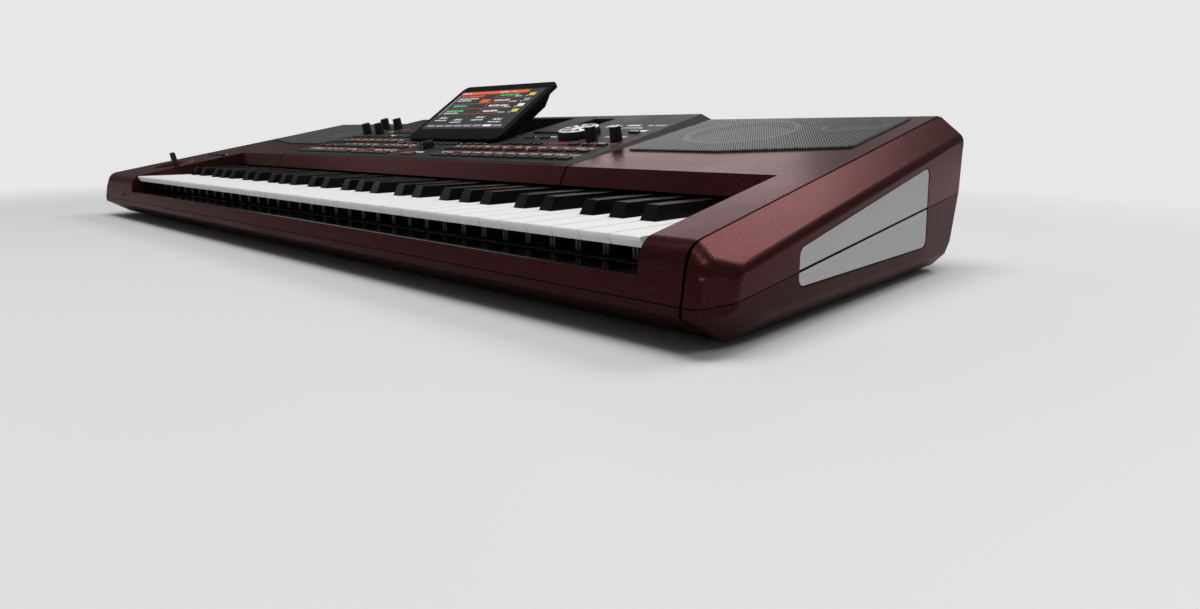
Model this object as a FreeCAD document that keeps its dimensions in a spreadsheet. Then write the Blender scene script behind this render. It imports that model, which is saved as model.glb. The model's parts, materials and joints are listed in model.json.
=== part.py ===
import FreeCAD, Part
import os
import re
import Sketcher

# An arranger keyboard with 61 keys. X runs to the player's right, Y to the rear and Z up.
# The origin is on the floor, under the middle of the case.

# Driving sizes, in millimetres and degrees.
SIZES = {
    # Case: a wedge with a sloping top, split at a parting line that rises to the rear.
    "left_block": 105.1,
    "right_block": 30.1,
    "rear_rim": 10,
    "foot_height": 4,
    "wall": 3,
    "front_height": 57.5,
    "top_angle": 11,
    "front_lean": 9,
    "nose_radius": 14,
    "tail_radius": 10,
    "part_height": 26.6,
    "part_angle": 5.9,
    "part_gap": 0.6,
    "skirt_band": 5.5,
    "chin_run": 29,
    "chin_radius": 8,
    "heel_run": 12,
    "heel_height": 19,
    "heel_foot": 24,
    # End cheeks and the plates let into them.
    "cheek_width": 20,
    "cheek_gap": 0.8,
    "seam_chamfer": 0.8,
    "cheek_flat": 9,
    "cheek_drop": 17,
    "cheek_corner": 21,
    "cheek_sole": 12,
    "cheek_radius": 8,
    "cheek_corner_radius": 6,
    "insert_front": 88,
    "insert_length": 202,
    "insert_lean": 7,
    "insert_drop": 25.5,
    "insert_base": 26.5,
    "insert_thickness": 2,
    "insert_sink": 0.3,
    "insert_gap": 0.9,
    "insert_radius": 6,
    # Keys.
    "white_pitch": 23.5,
    "octaves": 5,
    "key_gap": 1,
    "side_play": 4,
    "lip_setback": 10,
    "key_proud": 1.4,
    "key_depth": 18,
    "nosing": 2.2,
    "nosing_radius": 0.9,
    "skirt_step": 0.8,
    "skirt_slant": 1.8,
    "lip_height": 6.4,
    "lip_overhang": 24,
    "key_wall": 1.9,
    "key_skin": 4,
    "black_front": 60,
    "black_rake": 5.5,
    "black_rise": 10.3,
    "black_width": 12.6,
    "black_top_width": 9.8,
    "black_radius": 0.9,
    "tail_start": 148,
    "tail_drop": 2,
    "tail_height": 14,
    "tail_length": 7,
    "pivot_back": 200,
    "pivot_drop": 8.9,
    "pivot_radius": 3,
    "pivot_fit": 0.08,
    "key_dip": 2.9,
    # Keybed under the keys.
    "steel": 2,
    "felt_back": 40,
    "felt_width": 12,
    "felt_height": 3,
    "felt_play": 0.4,
    "board": 1.6,
    "contact_back": 120,
    "contact_width": 36,
    "contact_rib": 8,
    "contact_height": 12,
    # Front rail and fascia.
    "rail_drop": 20.4,
    "shelf_gap": 4,
    "fascia_back": 139,
    "fascia_lean": 8.5,
    "fascia_gap": 1.8,
    "fascia_strip": 7,
    "fascia_seam": 0.4,
    # Control panel. Its lines of buttons are steps from the front edge.
    "panel_margin": 24.5,
    "panel_bevel": 12,
    "panel_lean": 1.4,
    "panel_step": 0.3,
    "panel_thickness": 4,
    "panel_fit": 0.4,
    "line_front": 15.4,
    "line_second_step": 27.1,
    "line_menu_step": 20,
    "line_third_step": 25,
    "line_fourth_step": 28.5,
    "line_fifth_step": 25.5,
    "well_web": 3.55,
    "well_lap": 8.5,
    "well_depth": 22,
    "well_margin": 9.2,
    "finger_room": 15.3,
    "stand_gap": 55,
    "stand_width": 35,
    "stand_setback": 7.8,
    "stand_length": 38,
    "stand_depth": 20,
    "boss_radius": 3,
    "boss_inset": 61,
    "panel_board_drop": 12,
    "panel_board_front": 6,
    "panel_board_inset": 11,
    "panel_board_gap": 1.8,
    # Buttons.
    "button_rise": 2.2,
    "stem_gap": 0.4,
    "button_round": 0.6,
    "button_fit": 0.35,
    "button_travel": 1,
    "large_width": 13.5,
    "large_depth": 8,
    "small_width": 11,
    "small_depth": 6,
    "narrow_width": 8.5,
    "narrow_depth": 5.5,
    "start_width": 20,
    "switch_gap": 48.5,
    "switch_along": 132,
    "switch_pitch": 19,
    "switch_width": 13,
    "switch_depth": 6,
    "switch_stem": 6,
    # Knobs, dial and crossfader.
    "knob_radius": 6.2,
    "knob_top_radius": 5.5,
    "knob_height": 14.5,
    "knob_lift": 0.5,
    "knob_edge": 0.7,
    "mix_inset": 16,
    "mix_pitch": 32,
    "mix_gap": 18,
    "mix_step": 31,
    "level_inset": 54,
    "level_pitch": 32,
    "level_gap": 17,
    "shaft_radius": 3,
    "shaft_fit": 0.06,
    "shaft_play": 0.5,
    "shaft_length": 12,
    "pot_width": 15,
    "pot_height": 8,
    "dial_inset": 91,
    "dial_gap": 10.5,
    "dial_radius": 22.5,
    "dial_height": 8,
    "dial_dish": 1.4,
    "dial_dish_radius": 6,
    "dial_hub": 7.5,
    "dial_rim": 4.5,
    "dial_notches": 10,
    "dial_notch_width": 2.4,
    "dial_notch_flare": 6.4,
    "dial_notch_depth": 1,
    "fader_x": -4.5,
    "fader_travel": 21,
    "fader_cap_width": 9,
    "fader_cap_depth": 14,
    "fader_cap_height": 8,
    "fader_stem_width": 5,
    "fader_stem_depth": 2,
    "fader_play": 0.4,
    "fader_body_depth": 9,
    "fader_groove": 2.5,
    # Display.
    "display_width": 171,
    "display_length": 115,
    "display_thickness": 5,
    "display_rest": 22,
    "display_lift": 0.6,
    "display_corner": 9,
    "display_edge": 1.2,
    "hinge_setback": 4.7,
    "hinge_drop": 4,
    "hinge_inset": 17,
    "hinge_pin": 2,
    "hinge_fit": 0.06,
    "ear_width": 6,
    "ear_radius": 3.6,
    "bezel_side": 7.5,
    "bezel_top": 13,
    "screen_front": 20,
    "screen_thickness": 1.2,
    "screen_fit": 0.2,
    "back_clear": 3,
    "back_front": 10,
    "back_margin": 11,
    "back_thickness": 13,
    "back_taper": 7,
    "back_wall": 2.5,
    # Joystick.
    "joy_gap": 43.5,
    "joy_along": 73.3,
    "bowl_radius": 53,
    "bowl_depth": 8,
    "joy_hole": 11,
    "joy_pivot": 22,
    "joy_rise": 16,
    "stick_radius": 4,
    "stick_top_radius": 3.4,
    "yoke_width": 30,
    "yoke_depth": 24,
    "yoke_height": 8,
    "yoke_wall": 4,
    "yoke_pin": 2,
    "stick_pin": 1.5,
    "pin_fit": 0.06,
    "joy_bearing": 3,
    "joy_foot": 12,
    "joy_post_gap": 4,
    "joy_post": 6,
    # Speakers.
    "woofer_inset": 82,
    "woofer_setback": 63,
    "woofer_radius": 48,
    "tweeter_gap": 95,
    "tweeter_inset": 51.6,
    "tweeter_setback": 36,
    "tweeter_radius": 23,
    "speaker_flange": 6,
    "speaker_plate": 2,
    "speaker_depth": 34,
    "magnet_share": 0.55,
    "magnet_height": 14,
    "cone_fit": 0.2,
    "cone_thickness": 1.2,
    "grille_inner_front_gap": 14,
    "grille_inner_rear_gap": 5,
    "grille_outer_gap": 16.6,
    "grille_slant": 103,
    "grille_length": 146,
    "grille_slant_run": 24,
    "grille_margin": 21,
    "grille_thickness": 1.8,
    "grille_radius": 8,
    # Rear plate and sockets.
    "rear_drop": 12.2,
    "rear_opening": 34,
    "rear_margin": 10,
    "rear_lap": 4,
    "socket_fit": 0.3,
    "jack_radius": 5,
    "jack_bore": 3.25,
    "jack_depth": 20,
    "jack_body": 14,
    "jack_nut": 7,
    "jack_nut_height": 1.6,
    "jack_x": -20,
    "jack_pitch": 22,
    "jack_count": 6,
    "midi_gap": 49,
    "midi_pitch": 26,
    "midi_radius": 9,
    "midi_bore": 7,
    "usb_gap": 40,
    "usb_width": 12,
    "usb_height": 11,
    "usb_wall": 1.5,
    "inlet_gap": 55,
    "inlet_width": 24,
    "inlet_height": 17,
    "inlet_wall": 2.5,
    "inlet_depth": 15,
    "rocker_gap": 28,
    "rocker_width": 14,
    "rocker_half": 9.5,
    "rocker_rise": 3.5,
    "rocker_play": 0.8,
    "rocker_tilt": 6,
    "phones_gap": 35.5,
    "phones_rise": 6.2,
    # Boards, supply, feet and screws.
    "main_board_width": 300,
    "main_board_gap": 25,
    "standoff": 6,
    "standoff_inset": 8,
    "supply_gap": 100,
    "supply_width": 120,
    "supply_depth": 70,
    "supply_height": 36,
    "foot_radius": 11,
    "foot_inset": 64.6,
    "foot_front": 62,
    "foot_rear_inset": 56,
    "screw_radius": 1.5,
    "screw_head": 3,
    "screw_head_height": 1.8,
    "screw_length": 12,
    "screw_fit": 0.15,
    "screw_boss": 5,
    "screw_boss_height": 8,
    "screw_inset": 184.6,
    "screw_gap": 30,
    "screw_front": 34,
    "screw_rear_inset": 36,
}

# Rows of panel buttons: group, line, what the row starts after, gap to its first button, count, pitch, size.
# A row starts after the panel's left edge, right edge or middle, the crossfader, the display well or
# another row.
BUTTON_ROWS = [
    ("style", "front", "left", 14, 8, 15.9, "large"),
    ("style", "front", 1, 26.7, 5, 15.5, "large"),
    ("start", "front", 2, 48, 1, 20, "start"),
    ("sound", "front", 3, 53, 12, 17.5, "large"),
    ("style", "second", "left", 16, 2, 24, "small"),
    ("style", "second", 5, 22, 5, 17.5, "small"),
    ("style", "second", 6, 24, 5, 14.5, "small"),
    ("sound", "second", "fader", 16.6, 6, 12.8, "narrow"),
    ("sound", "second", 8, 18, 1, 16, "small"),
    ("sound", "second", 9, 20, 2, 14.5, "small"),
    ("sound", "second", 10, 19.5, 1, 16, "small"),
    ("sound", "second", 11, 18, 2, 16, "small"),
    ("sound", "second", 12, 18, 2, 16, "small"),
    ("style", "third", "left", 14, 6, 17, "small"),
    ("style", "third", 14, 19, 3, 17, "small"),
    ("style", "menu", "middle", -84, 2, 22, "narrow"),
    ("menu", "menu", 16, 46, 4, 12.7, "narrow"),
    ("menu", "menu", 17, 25.9, 2, 16, "narrow"),
    ("menu", "third", "well", 27, 4, 16, "small"),
    ("sound", "third", 19, 52, 3, 18, "small"),
    ("style", "fourth", "left", 14, 6, 16, "small"),
    ("style", "fourth", 21, 24, 2, 20, "small"),
    ("menu", "fourth", "well", 33, 2, 24, "small"),
    ("style", "fifth", "left", 80, 3, 19, "small"),
    ("menu", "fifth", "well", 20, 4, 10.5, "narrow"),
    ("sound", "fifth", "right", -30, 1, 16, "small"),
]
ROW_STARTS = {
    "left": "-panel_width / 2",
    "right": "panel_width / 2",
    "middle": "0",
    "fader": "fader_x + fader_reach",
    "well": "well_half",
}

# Sizes that follow from the driving ones, so that pieces which meet stay together.
FITTED = {
    "panel_angle": "top_angle + panel_lean",
    "key_span": "(7 * octaves + 1) * white_pitch",
    "key_top": "front_height + key_proud",
    "pivot_height": "key_top - pivot_drop",
    "rail_top": "key_top - rail_drop",
    "rail_shelf": "lip_overhang - shelf_gap",
    "fascia_foot": "fascia_back - fascia_lean",
    "fascia_bottom": "key_top + black_rise + fascia_gap",
    "line_second": "line_front + line_second_step",
    "line_menu": "line_second + line_menu_step",
    "line_third": "line_second + line_third_step",
    "line_fourth": "line_third + line_fourth_step",
    "line_fifth": "line_fourth + line_fifth_step",
    "fader_reach": "fader_travel + fader_stem_width / 2 + fader_play",
    "button_stem": "panel_board_drop - button_travel - stem_gap",
    "well_half": "display_width / 2 - well_lap",
    "well_front": "line_menu + narrow_depth / 2 + well_web",
    "well_length": "hinge_setback + display_length + finger_room",
    "hinge_along": "well_front + hinge_setback",
    "hinge_x": "well_half - hinge_inset",
    "screen_width": "display_width - 2 * bezel_side",
    "screen_length": "display_length - screen_front - bezel_top",
    "back_half": "well_half - back_clear",
    "back_length": "display_length - back_front - back_margin",
    "stand_x": "well_half + stand_gap",
    "stand_front": "well_front + well_length - stand_setback - stand_length",
    "panel_front": "fascia_back + fascia_strip",
    "panel_run": "(well_front + well_length + well_margin) * cos(panel_angle)",
    "case_depth": "lip_setback + panel_front + panel_run + rear_rim",
    "deck_length": "case_depth / cos(top_angle)",
    "deck_rear": "front_height + case_depth * tan(top_angle)",
    "panel_width": "row_1_gap + (row_1_count - 1) * row_1_pitch + row_2_gap + (row_2_count - 1) * row_2_pitch"
                   " + row_3_gap + row_4_gap + (row_4_count - 1) * row_4_pitch + panel_margin",
    "case_half": "max((left_block + right_block + key_span) / 2 + side_play;"
                 " panel_width / 2 + woofer_inset + tweeter_gap + tweeter_inset)",
    "case_width": "2 * (case_half + cheek_gap + cheek_width)",
    "key_left": "left_block + side_play - case_half",
    "joy_x": "left_block - case_half - joy_gap",
    "switch_x": "left_block - case_half - switch_gap",
    "phones_x": "left_block - case_half - phones_gap",
    "phones_height": "part_height + phones_rise",
    "mix_x": "mix_inset - panel_width / 2",
    "mix_along": "line_fourth + mix_gap",
    "level_x": "panel_width / 2 - level_inset",
    "level_along": "line_third + level_gap",
    "dial_x": "panel_width / 2 - dial_inset",
    "dial_along": "line_fourth + dial_gap",
    "boss_x": "panel_width / 2 - boss_inset",
    "boss_along": "(line_front + line_second) / 2",
    "grille_rear": "deck_length - grille_margin",
    "grille_front": "grille_rear - grille_length",
    "grille_inner_front": "panel_width / 2 + grille_inner_front_gap",
    "grille_inner_rear": "panel_width / 2 + grille_inner_rear_gap",
    "grille_outer": "case_half - grille_outer_gap",
    "woofer_x": "panel_width / 2 + woofer_inset",
    "woofer_along": "grille_rear - woofer_setback",
    "tweeter_x": "case_half - tweeter_inset",
    "tweeter_along": "grille_rear - tweeter_setback",
    "rear_height": "deck_rear - tail_radius - rear_drop - rear_opening / 2",
    "midi_x": "jack_x - midi_gap - midi_pitch",
    "inlet_x": "midi_x - inlet_gap",
    "usb_x": "jack_x + (jack_count - 1) * jack_pitch + usb_gap",
    "rocker_x": "usb_x + rocker_gap",
    "rear_width": "2 * (max(inlet_width / 2 + inlet_wall - inlet_x; rocker_width / 2 + rocker_x)"
                  " + rear_margin)",
    "supply_x": "main_board_width / 2 + supply_gap",
    "foot_x": "case_half - foot_inset",
    "foot_rear": "case_depth - foot_rear_inset",
    "screw_x": "case_half - screw_inset",
    "screw_mid_x": "main_board_width / 2 + screw_gap",
    "screw_rear": "case_depth - screw_rear_inset",
    "bowl_rim": "sqrt((bowl_radius + wall) ^ 2 - (bowl_radius - bowl_depth + wall) ^ 2)",
}
for number, (_, _, start, gap, count, pitch, _) in enumerate(BUTTON_ROWS, start=1):
    SIZES[f"row_{number}_gap"] = gap
    SIZES[f"row_{number}_count"] = count
    SIZES[f"row_{number}_pitch"] = pitch
    after = ROW_STARTS.get(start, f"row_{start}_x + (row_{start}_count - 1) * row_{start}_pitch")
    FITTED[f"row_{number}_x"] = f"{after} + row_{number}_gap"

WORDS = re.compile(r"\b(" + "|".join([*SIZES, *FITTED]) + r")\b")


def cell(text):
    """An expression in which each named size points at its cell or its fitted value."""
    return WORDS.sub(lambda word: ("Size." if word[0] in SIZES else "Fit.") + word[0], str(text))


doc = FreeCAD.newDocument("arranger_keyboard")
sheet = doc.addObject("Spreadsheet::Sheet", "Size")
fits = doc.addObject("App::VarSet", "Fit")
for line, (name, size) in enumerate(SIZES.items(), start=1):
    sheet.set(f"A{line}", name)
    sheet.set(f"B{line}", str(size))
    sheet.setAlias(f"B{line}", name)
for name in FITTED:
    fits.addProperty("App::PropertyFloat", name)
for name, formula in FITTED.items():
    fits.setExpression(name, cell(formula))
doc.recompute()

nodes = []


def number_of(text):
    return float(sheet.evalExpression(cell(text)))


def bind(item, **sizes):
    for prop, text in sizes.items():
        item.setExpression(prop, cell(text))


def node(item, label):
    """Mark a finished sub-part: its label names its file."""
    item.Label = label
    nodes.append(item)
    return item


def place(item, x="0", y="0", z="0", tilt=None):
    """Bind where a piece stands, and its tilt about X."""
    if tilt is not None:
        item.Placement = FreeCAD.Placement(FreeCAD.Vector(), FreeCAD.Rotation(FreeCAD.Vector(1, 0, 0), 1))
        item.setExpression("Placement.Rotation.Angle", cell(tilt))
    for axis, text in zip("xyz", (x, y, z)):
        item.setExpression(f"Placement.Base.{axis}", cell(text))
    return item


def box(x, y, z):
    """A block between two bounds on each axis."""
    item = doc.addObject("Part::Box", "block")
    for prop, (low, high) in zip(("Length", "Width", "Height"), (x, y, z)):
        item.setExpression(prop, cell(f"({high}) - ({low})"))
    return place(item, x[0], y[0], z[0])


AXIS_TURN = {
    "x": FreeCAD.Rotation(FreeCAD.Vector(0, 1, 0), 90),
    "y": FreeCAD.Rotation(FreeCAD.Vector(1, 0, 0), -90),
    "z": FreeCAD.Rotation(),
}


def rod(axis, radius, x, y, z):
    """A cylinder along one axis, whose bounds are a pair and whose centre is a single value on the others."""
    item = doc.addObject("Part::Cylinder", "rod")
    item.Placement = FreeCAD.Placement(FreeCAD.Vector(), AXIS_TURN[axis])
    start = {"x": x, "y": y, "z": z}
    low, high = start[axis]
    start[axis] = low
    bind(item, Radius=radius, Height=f"({high}) - ({low})")
    return place(item, start["x"], start["y"], start["z"])


def fuse(*items):
    item = doc.addObject("Part::MultiFuse", "joined")
    item.Shapes = list(items)
    item.Refine = True
    return item


def cut(base, *tools):
    item = doc.addObject("Part::Cut", "cut")
    item.Base = base
    item.Tool = tools[0] if len(tools) == 1 else fuse(*tools)
    return item


def group(*items):
    """Separate solids that share one node."""
    item = doc.addObject("Part::Compound", "group")
    item.Links = list(items)
    return item


def mirror(source):
    """The same piece on the other side of the case."""
    item = doc.addObject("Part::Mirroring", "mirrored")
    item.Source = source
    item.Normal = FreeCAD.Vector(1, 0, 0)
    return item


def origin(body, role):
    return next(item for item in body.Origin.OriginFeatures if item.Role == role)


def new_body(name):
    body = doc.addObject("PartDesign::Body", name)
    body.AllowCompound = True
    return body


def sketch(body, role, offset="0"):
    item = body.newObject("Sketcher::SketchObject", "outline")
    item.AttachmentSupport = [(origin(body, role), "")]
    item.MapMode = "FlatFace"
    item.setExpression("AttachmentOffset.Base.z", cell(offset))
    return item


def pin_point(item, geometry, position, point):
    """Tie a sketch point to its two expressions."""
    for kind, text in zip(("DistanceX", "DistanceY"), point):
        index = item.addConstraint(Sketcher.Constraint(kind, -1, 1, geometry, position, number_of(text)))
        item.setExpression(f"Constraints[{index}]", cell(text))


def polygon(body, role, points, offset="0"):
    item = sketch(body, role, offset)
    corners = [FreeCAD.Vector(number_of(x), number_of(y), 0) for x, y in points]
    last = len(points) - 1
    for index, corner in enumerate(corners):
        following = corners[0] if index == last else corners[index + 1]
        item.addGeometry(Part.LineSegment(corner, following))
    for index in range(len(points)):
        following = 0 if index == last else index + 1
        item.addConstraint(Sketcher.Constraint("Coincident", index, 2, following, 1))
    for index, point in enumerate(points):
        pin_point(item, index, 1, point)
    return item


def rectangle(x, y):
    return [(x[0], y[0]), (x[1], y[0]), (x[1], y[1]), (x[0], y[1])]


def pad(body, profile, length, symmetric=False):
    item = body.newObject("PartDesign::Pad", "pad")
    item.Profile = profile
    bind(item, Length=length)
    item.SideType = "Symmetric" if symmetric else "One side"
    return item


def pocket(body, profile, length):
    """A pocket along the sketch's normal."""
    item = body.newObject("PartDesign::Pocket", "pocket")
    item.Profile = profile
    bind(item, Length=length)
    item.Reversed = True
    return item


def solid(name, role, points, length, offset="0", symmetric=False):
    """A prism of one outline."""
    body = new_body(name)
    pad(body, polygon(body, role, points, offset), length, symmetric)
    return body


def turned(name, points):
    """A solid turned about Z from its half profile of radii and heights."""
    body = new_body(name)
    profile = polygon(body, "XZ_Plane", points)
    item = body.newObject("PartDesign::Revolution", "turning")
    item.Profile = profile
    item.ReferenceAxis = (profile, ["V_Axis"])
    item.Angle = 360
    return body


def soften(body, kind, size, chosen):
    """Round or chamfer the edges of the last feature whose middles pass a test."""
    doc.recompute()
    base = body.Tip
    edges = [f"Edge{i}" for i, edge in enumerate(base.Shape.Edges, start=1) if chosen(edge)]
    item = body.newObject(f"PartDesign::{kind}", kind.lower())
    item.Base = (base, edges)
    item.setExpression("Radius" if kind == "Fillet" else "Size", cell(size))
    return item


def close(first, second):
    return abs(first - second) < 0.01


def at_point(y, z):
    """Edges along X through a point of the side profile."""
    depth, height = number_of(y), number_of(z)
    return lambda edge: close(edge.CenterOfMass.y, depth) and close(edge.CenterOfMass.z, height)


def row_of(body, pitch, count):
    """Repeat a whole body along X."""
    item = body.newObject("PartDesign::LinearPattern", "row")
    item.TransformMode = "Whole shape"
    item.Direction = (origin(body, "X_Axis"), [""])
    item.Mode = "Spacing"
    bind(item, Offset=pitch, Occurrences=count)
    body.Tip = item
    return item


# Reference lines of the side profile, as expressions.
FRONT = "(-case_depth / 2)"
REAR = "(case_depth / 2)"
LIP = f"({FRONT} + lip_setback)"
SKIN = "(wall / cos(top_angle))"
CASE_HALF = "case_half"
KEY_RIGHT = "(key_left + key_span)"
LEFT_FACE = "(key_left - side_play)"
RIGHT_FACE = f"({KEY_RIGHT} + side_play)"
PIVOT_Y = f"({LIP} + pivot_back)"
PANEL_Y = f"({LIP} + panel_front)"
PANEL_REAR = f"({PANEL_Y} + panel_run)"
FASCIA_FOOT = f"({LIP} + fascia_foot)"
FASCIA_TOP = f"({LIP} + fascia_back)"
FLOOR = "(foot_height + wall)"


def deck(y):
    """Height of the sloping top at a depth."""
    return f"(front_height + ({y} - {FRONT}) * tan(top_angle))"


def parting(y):
    """Height of the line where the upper and lower halves meet."""
    return f"(part_height + ({y} - {FRONT}) * tan(part_angle))"


NOSE = f"({FRONT} + (front_height - part_height) / (1 / tan(front_lean) - tan(top_angle)))"
PANEL_Z = f"({deck(PANEL_Y)} + panel_step)"


def on_panel(item, x="0", along="0", rise="0"):
    """Stand a piece on the control panel: along its slope from the front edge, and above its face."""
    depth = f"{PANEL_Y} + ({along}) * cos(panel_angle) - ({rise}) * sin(panel_angle)"
    height = f"{PANEL_Z} + ({along}) * sin(panel_angle) + ({rise}) * cos(panel_angle)"
    return place(item, x, depth, height, "panel_angle")


def on_deck(item, x="0", along="0", rise="0"):
    """Stand a piece on the sloping top: along it from the front face, and above it."""
    depth = f"{FRONT} + ({along}) * cos(top_angle) - ({rise}) * sin(top_angle)"
    height = f"front_height + ({along}) * sin(top_angle) + ({rise}) * cos(top_angle)"
    return place(item, x, depth, height, "top_angle")


def panel_underside(along):
    """Rise of the control panel's underside, which runs level with the deck."""
    lean = "(panel_angle - top_angle)"
    return f"(-((panel_step + panel_thickness) * cos(top_angle) + ({along}) * sin{lean}) / cos{lean})"


def local_box(x, y, z):
    """A block that is placed by its own origin instead of its corner."""
    return solid("block", "XY_Plane", rectangle(x, y), f"({z[1]}) - ({z[0]})", z[0])


# Upper case: one shell with end blocks, a front rail, two speaker decks and a rear wall.
case_outer = solid("case_outer", "YZ_Plane", [
    (FRONT, f"{parting(FRONT)} + part_gap / 2"),
    (NOSE, deck(NOSE)),
    (REAR, deck(REAR)),
    (REAR, f"{parting(REAR)} + part_gap / 2"),
], f"2 * {CASE_HALF}", symmetric=True)
soften(case_outer, "Fillet", "nose_radius", at_point(NOSE, deck(NOSE)))
soften(case_outer, "Fillet", "tail_radius", at_point(REAR, deck(REAR)))


def on_case_end(edge):
    """Edges round the end faces, apart from the parting edge."""
    middle = edge.CenterOfMass
    above = middle.z - number_of(parting(middle.y)) > number_of("part_gap")
    return close(abs(middle.x), number_of(CASE_HALF)) and above


soften(case_outer, "Chamfer", "seam_chamfer", on_case_end)

case_cavity = solid("case_cavity", "YZ_Plane", [
    (f"{FRONT} + wall", "0"),
    (f"{FRONT} + wall", "part_height"),
    (f"{NOSE} + wall", f"{deck(NOSE)} - nose_radius"),
    (f"{NOSE} + nose_radius", f"{deck(f'({NOSE} + nose_radius)')} - {SKIN}"),
    (f"{REAR} - tail_radius", f"{deck(f'({REAR} - tail_radius)')} - {SKIN}"),
    (f"{REAR} - wall", f"{deck(REAR)} - tail_radius - wall"),
    (f"{REAR} - wall", "0"),
], f"2 * ({CASE_HALF} - wall)", symmetric=True)

ABOVE = f"({deck(REAR)} + wall)"
BLOCK_END = f"({FASCIA_TOP} + 4 * wall)"
left_wall = box((f"{LEFT_FACE} - wall", LEFT_FACE), (FRONT, BLOCK_END), ("0", ABOVE))
right_wall = box((RIGHT_FACE, f"{RIGHT_FACE} + wall"), (FRONT, BLOCK_END), ("0", ABOVE))
rail_shelf = box((LEFT_FACE, RIGHT_FACE), (FRONT, f"{LIP} + rail_shelf"), ("rail_top - wall", "rail_top"))
OPENING = f"{RIGHT_FACE} - {LEFT_FACE}"
FASCIA_BAND = [
    (FASCIA_FOOT, "fascia_bottom"),
    (FASCIA_TOP, deck(FASCIA_TOP)),
    (f"{FASCIA_TOP} + 1.2 * wall", deck(f"({FASCIA_TOP} + 1.2 * wall)")),
    (f"{FASCIA_FOOT} + 1.2 * wall", "fascia_bottom"),
]
fascia_band = solid("fascia_band", "YZ_Plane", FASCIA_BAND, OPENING, LEFT_FACE)


def bowl(radius):
    item = doc.addObject("Part::Sphere", "bowl")
    bind(item, Radius=radius)
    return on_deck(item, "joy_x", "joy_along", "bowl_radius - bowl_depth")


hollow = cut(case_cavity, left_wall, right_wall, rail_shelf, fascia_band, bowl("bowl_radius + wall"))

key_opening = solid("key_opening", "YZ_Plane", [
    (f"{FRONT} - wall", "rail_top"),
    (FASCIA_FOOT, "rail_top"),
    (FASCIA_FOOT, "fascia_bottom"),
    (FASCIA_TOP, deck(FASCIA_TOP)),
    (FASCIA_TOP, ABOVE),
    (f"{FRONT} - wall", ABOVE),
], OPENING, LEFT_FACE)
CENTRE_HALF = "(panel_width / 2 + panel_fit)"
centre_opening = box(
    (f"-{CENTRE_HALF}", CENTRE_HALF),
    (f"{FASCIA_FOOT} - wall", f"{PANEL_REAR} + panel_fit"),
    ("fascia_bottom - wall", f"{ABOVE} + wall"),
)
joystick_well = turned("joystick_well", rectangle(("0", "joy_hole"), ("-bowl_depth - 2 * wall", "0")))
joystick_hole = on_deck(joystick_well, "joy_x", "joy_along")
rear_opening = box(
    ("-rear_width / 2", "rear_width / 2"),
    (f"{REAR} - 2 * wall", f"{REAR} + wall"),
    ("rear_height - rear_opening / 2", "rear_height + rear_opening / 2"),
)
phones_hole = rod("y", "jack_radius + socket_fit", "phones_x",
                  (f"{FRONT} - wall", f"{FRONT} + 3 * wall"), "phones_height")


def speaker_hole(x, along, radius):
    hole = turned("speaker_hole", rectangle(("0", radius), ("-2 * wall", "wall")))
    return on_deck(hole, x, along)


speaker_holes = [
    speaker_hole(f"{side} * {name}_x", f"{name}_along", f"{name}_radius")
    for side in (-1, 1) for name in ("woofer", "tweeter")
]


def switch_row(grow, low, high):
    """The three assign switches beside the joystick, or the holes that they stand in."""
    half_width, half_depth = f"(switch_width / 2 + {grow})", f"(switch_depth / 2 + {grow})"
    row = solid("switch", "XY_Plane",
                rectangle((f"-{half_width}", half_width), (f"-{half_depth}", half_depth)),
                f"({high}) - ({low})", low)
    if grow == "0":
        soften(row, "Fillet", "button_round", lambda edge: close(edge.CenterOfMass.z, number_of(high)))
    row_of(row, "switch_pitch", "3")
    return on_deck(row, "switch_x - switch_pitch", "switch_along")


node(cut(case_outer, hollow, key_opening, centre_opening, bowl("bowl_radius"), joystick_hole, rear_opening,
         phones_hole, switch_row("button_fit", "-2 * wall", "wall"), *speaker_holes), "upper_case")

# Centre fascia: the strip between the keys and the control panel, butted between the two decks.
PANEL_LINE = f"({PANEL_Y} - panel_fit)"
node(solid("fascia", "YZ_Plane", [
    FASCIA_BAND[0],
    FASCIA_BAND[1],
    (PANEL_LINE, deck(PANEL_LINE)),
    (PANEL_LINE, f"{deck(PANEL_LINE)} - {SKIN}"),
    (f"{FASCIA_TOP} + 1.2 * wall", f"{deck(f'({FASCIA_TOP} + 1.2 * wall)')} - {SKIN}"),
    FASCIA_BAND[3],
], "panel_width - 2 * fascia_seam", symmetric=True), "centre_fascia")

# Lower case: a tray with a chin that turns under at the front and a tucked-in heel.
lower_outer = solid("lower_outer", "YZ_Plane", [
    (FRONT, f"{parting(FRONT)} - part_gap / 2"),
    (REAR, f"{parting(REAR)} - part_gap / 2"),
    (f"{REAR} - heel_run", "heel_height"),
    (f"{REAR} - heel_foot", "foot_height"),
    (f"{FRONT} + chin_run", "foot_height"),
    (FRONT, "part_height - skirt_band"),
], f"2 * {CASE_HALF}", symmetric=True)
soften(lower_outer, "Fillet", "chin_radius", at_point(f"{FRONT} + chin_run", "foot_height"))
lower_cavity = solid("lower_cavity", "YZ_Plane", [
    (f"{FRONT} + wall", f"{deck(REAR)}"),
    (f"{REAR} - wall", f"{deck(REAR)}"),
    (f"{REAR} - wall", parting(REAR)),
    (f"{REAR} - heel_run - wall", "heel_height"),
    (f"{REAR} - heel_foot", FLOOR),
    (f"{FRONT} + chin_run", FLOOR),
    (f"{FRONT} + wall", "part_height - skirt_band + wall / 2"),
], f"2 * ({CASE_HALF} - wall)", symmetric=True)
SCREWS = [
    (f"{side} * {column}", f"{FRONT} + {row}")
    for side in (-1, 1) for column in ("screw_x", "screw_mid_x") for row in ("screw_front", "screw_rear")
]
BOARD_Y = f"({LIP} + pivot_back + tail_length + main_board_gap)"
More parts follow.
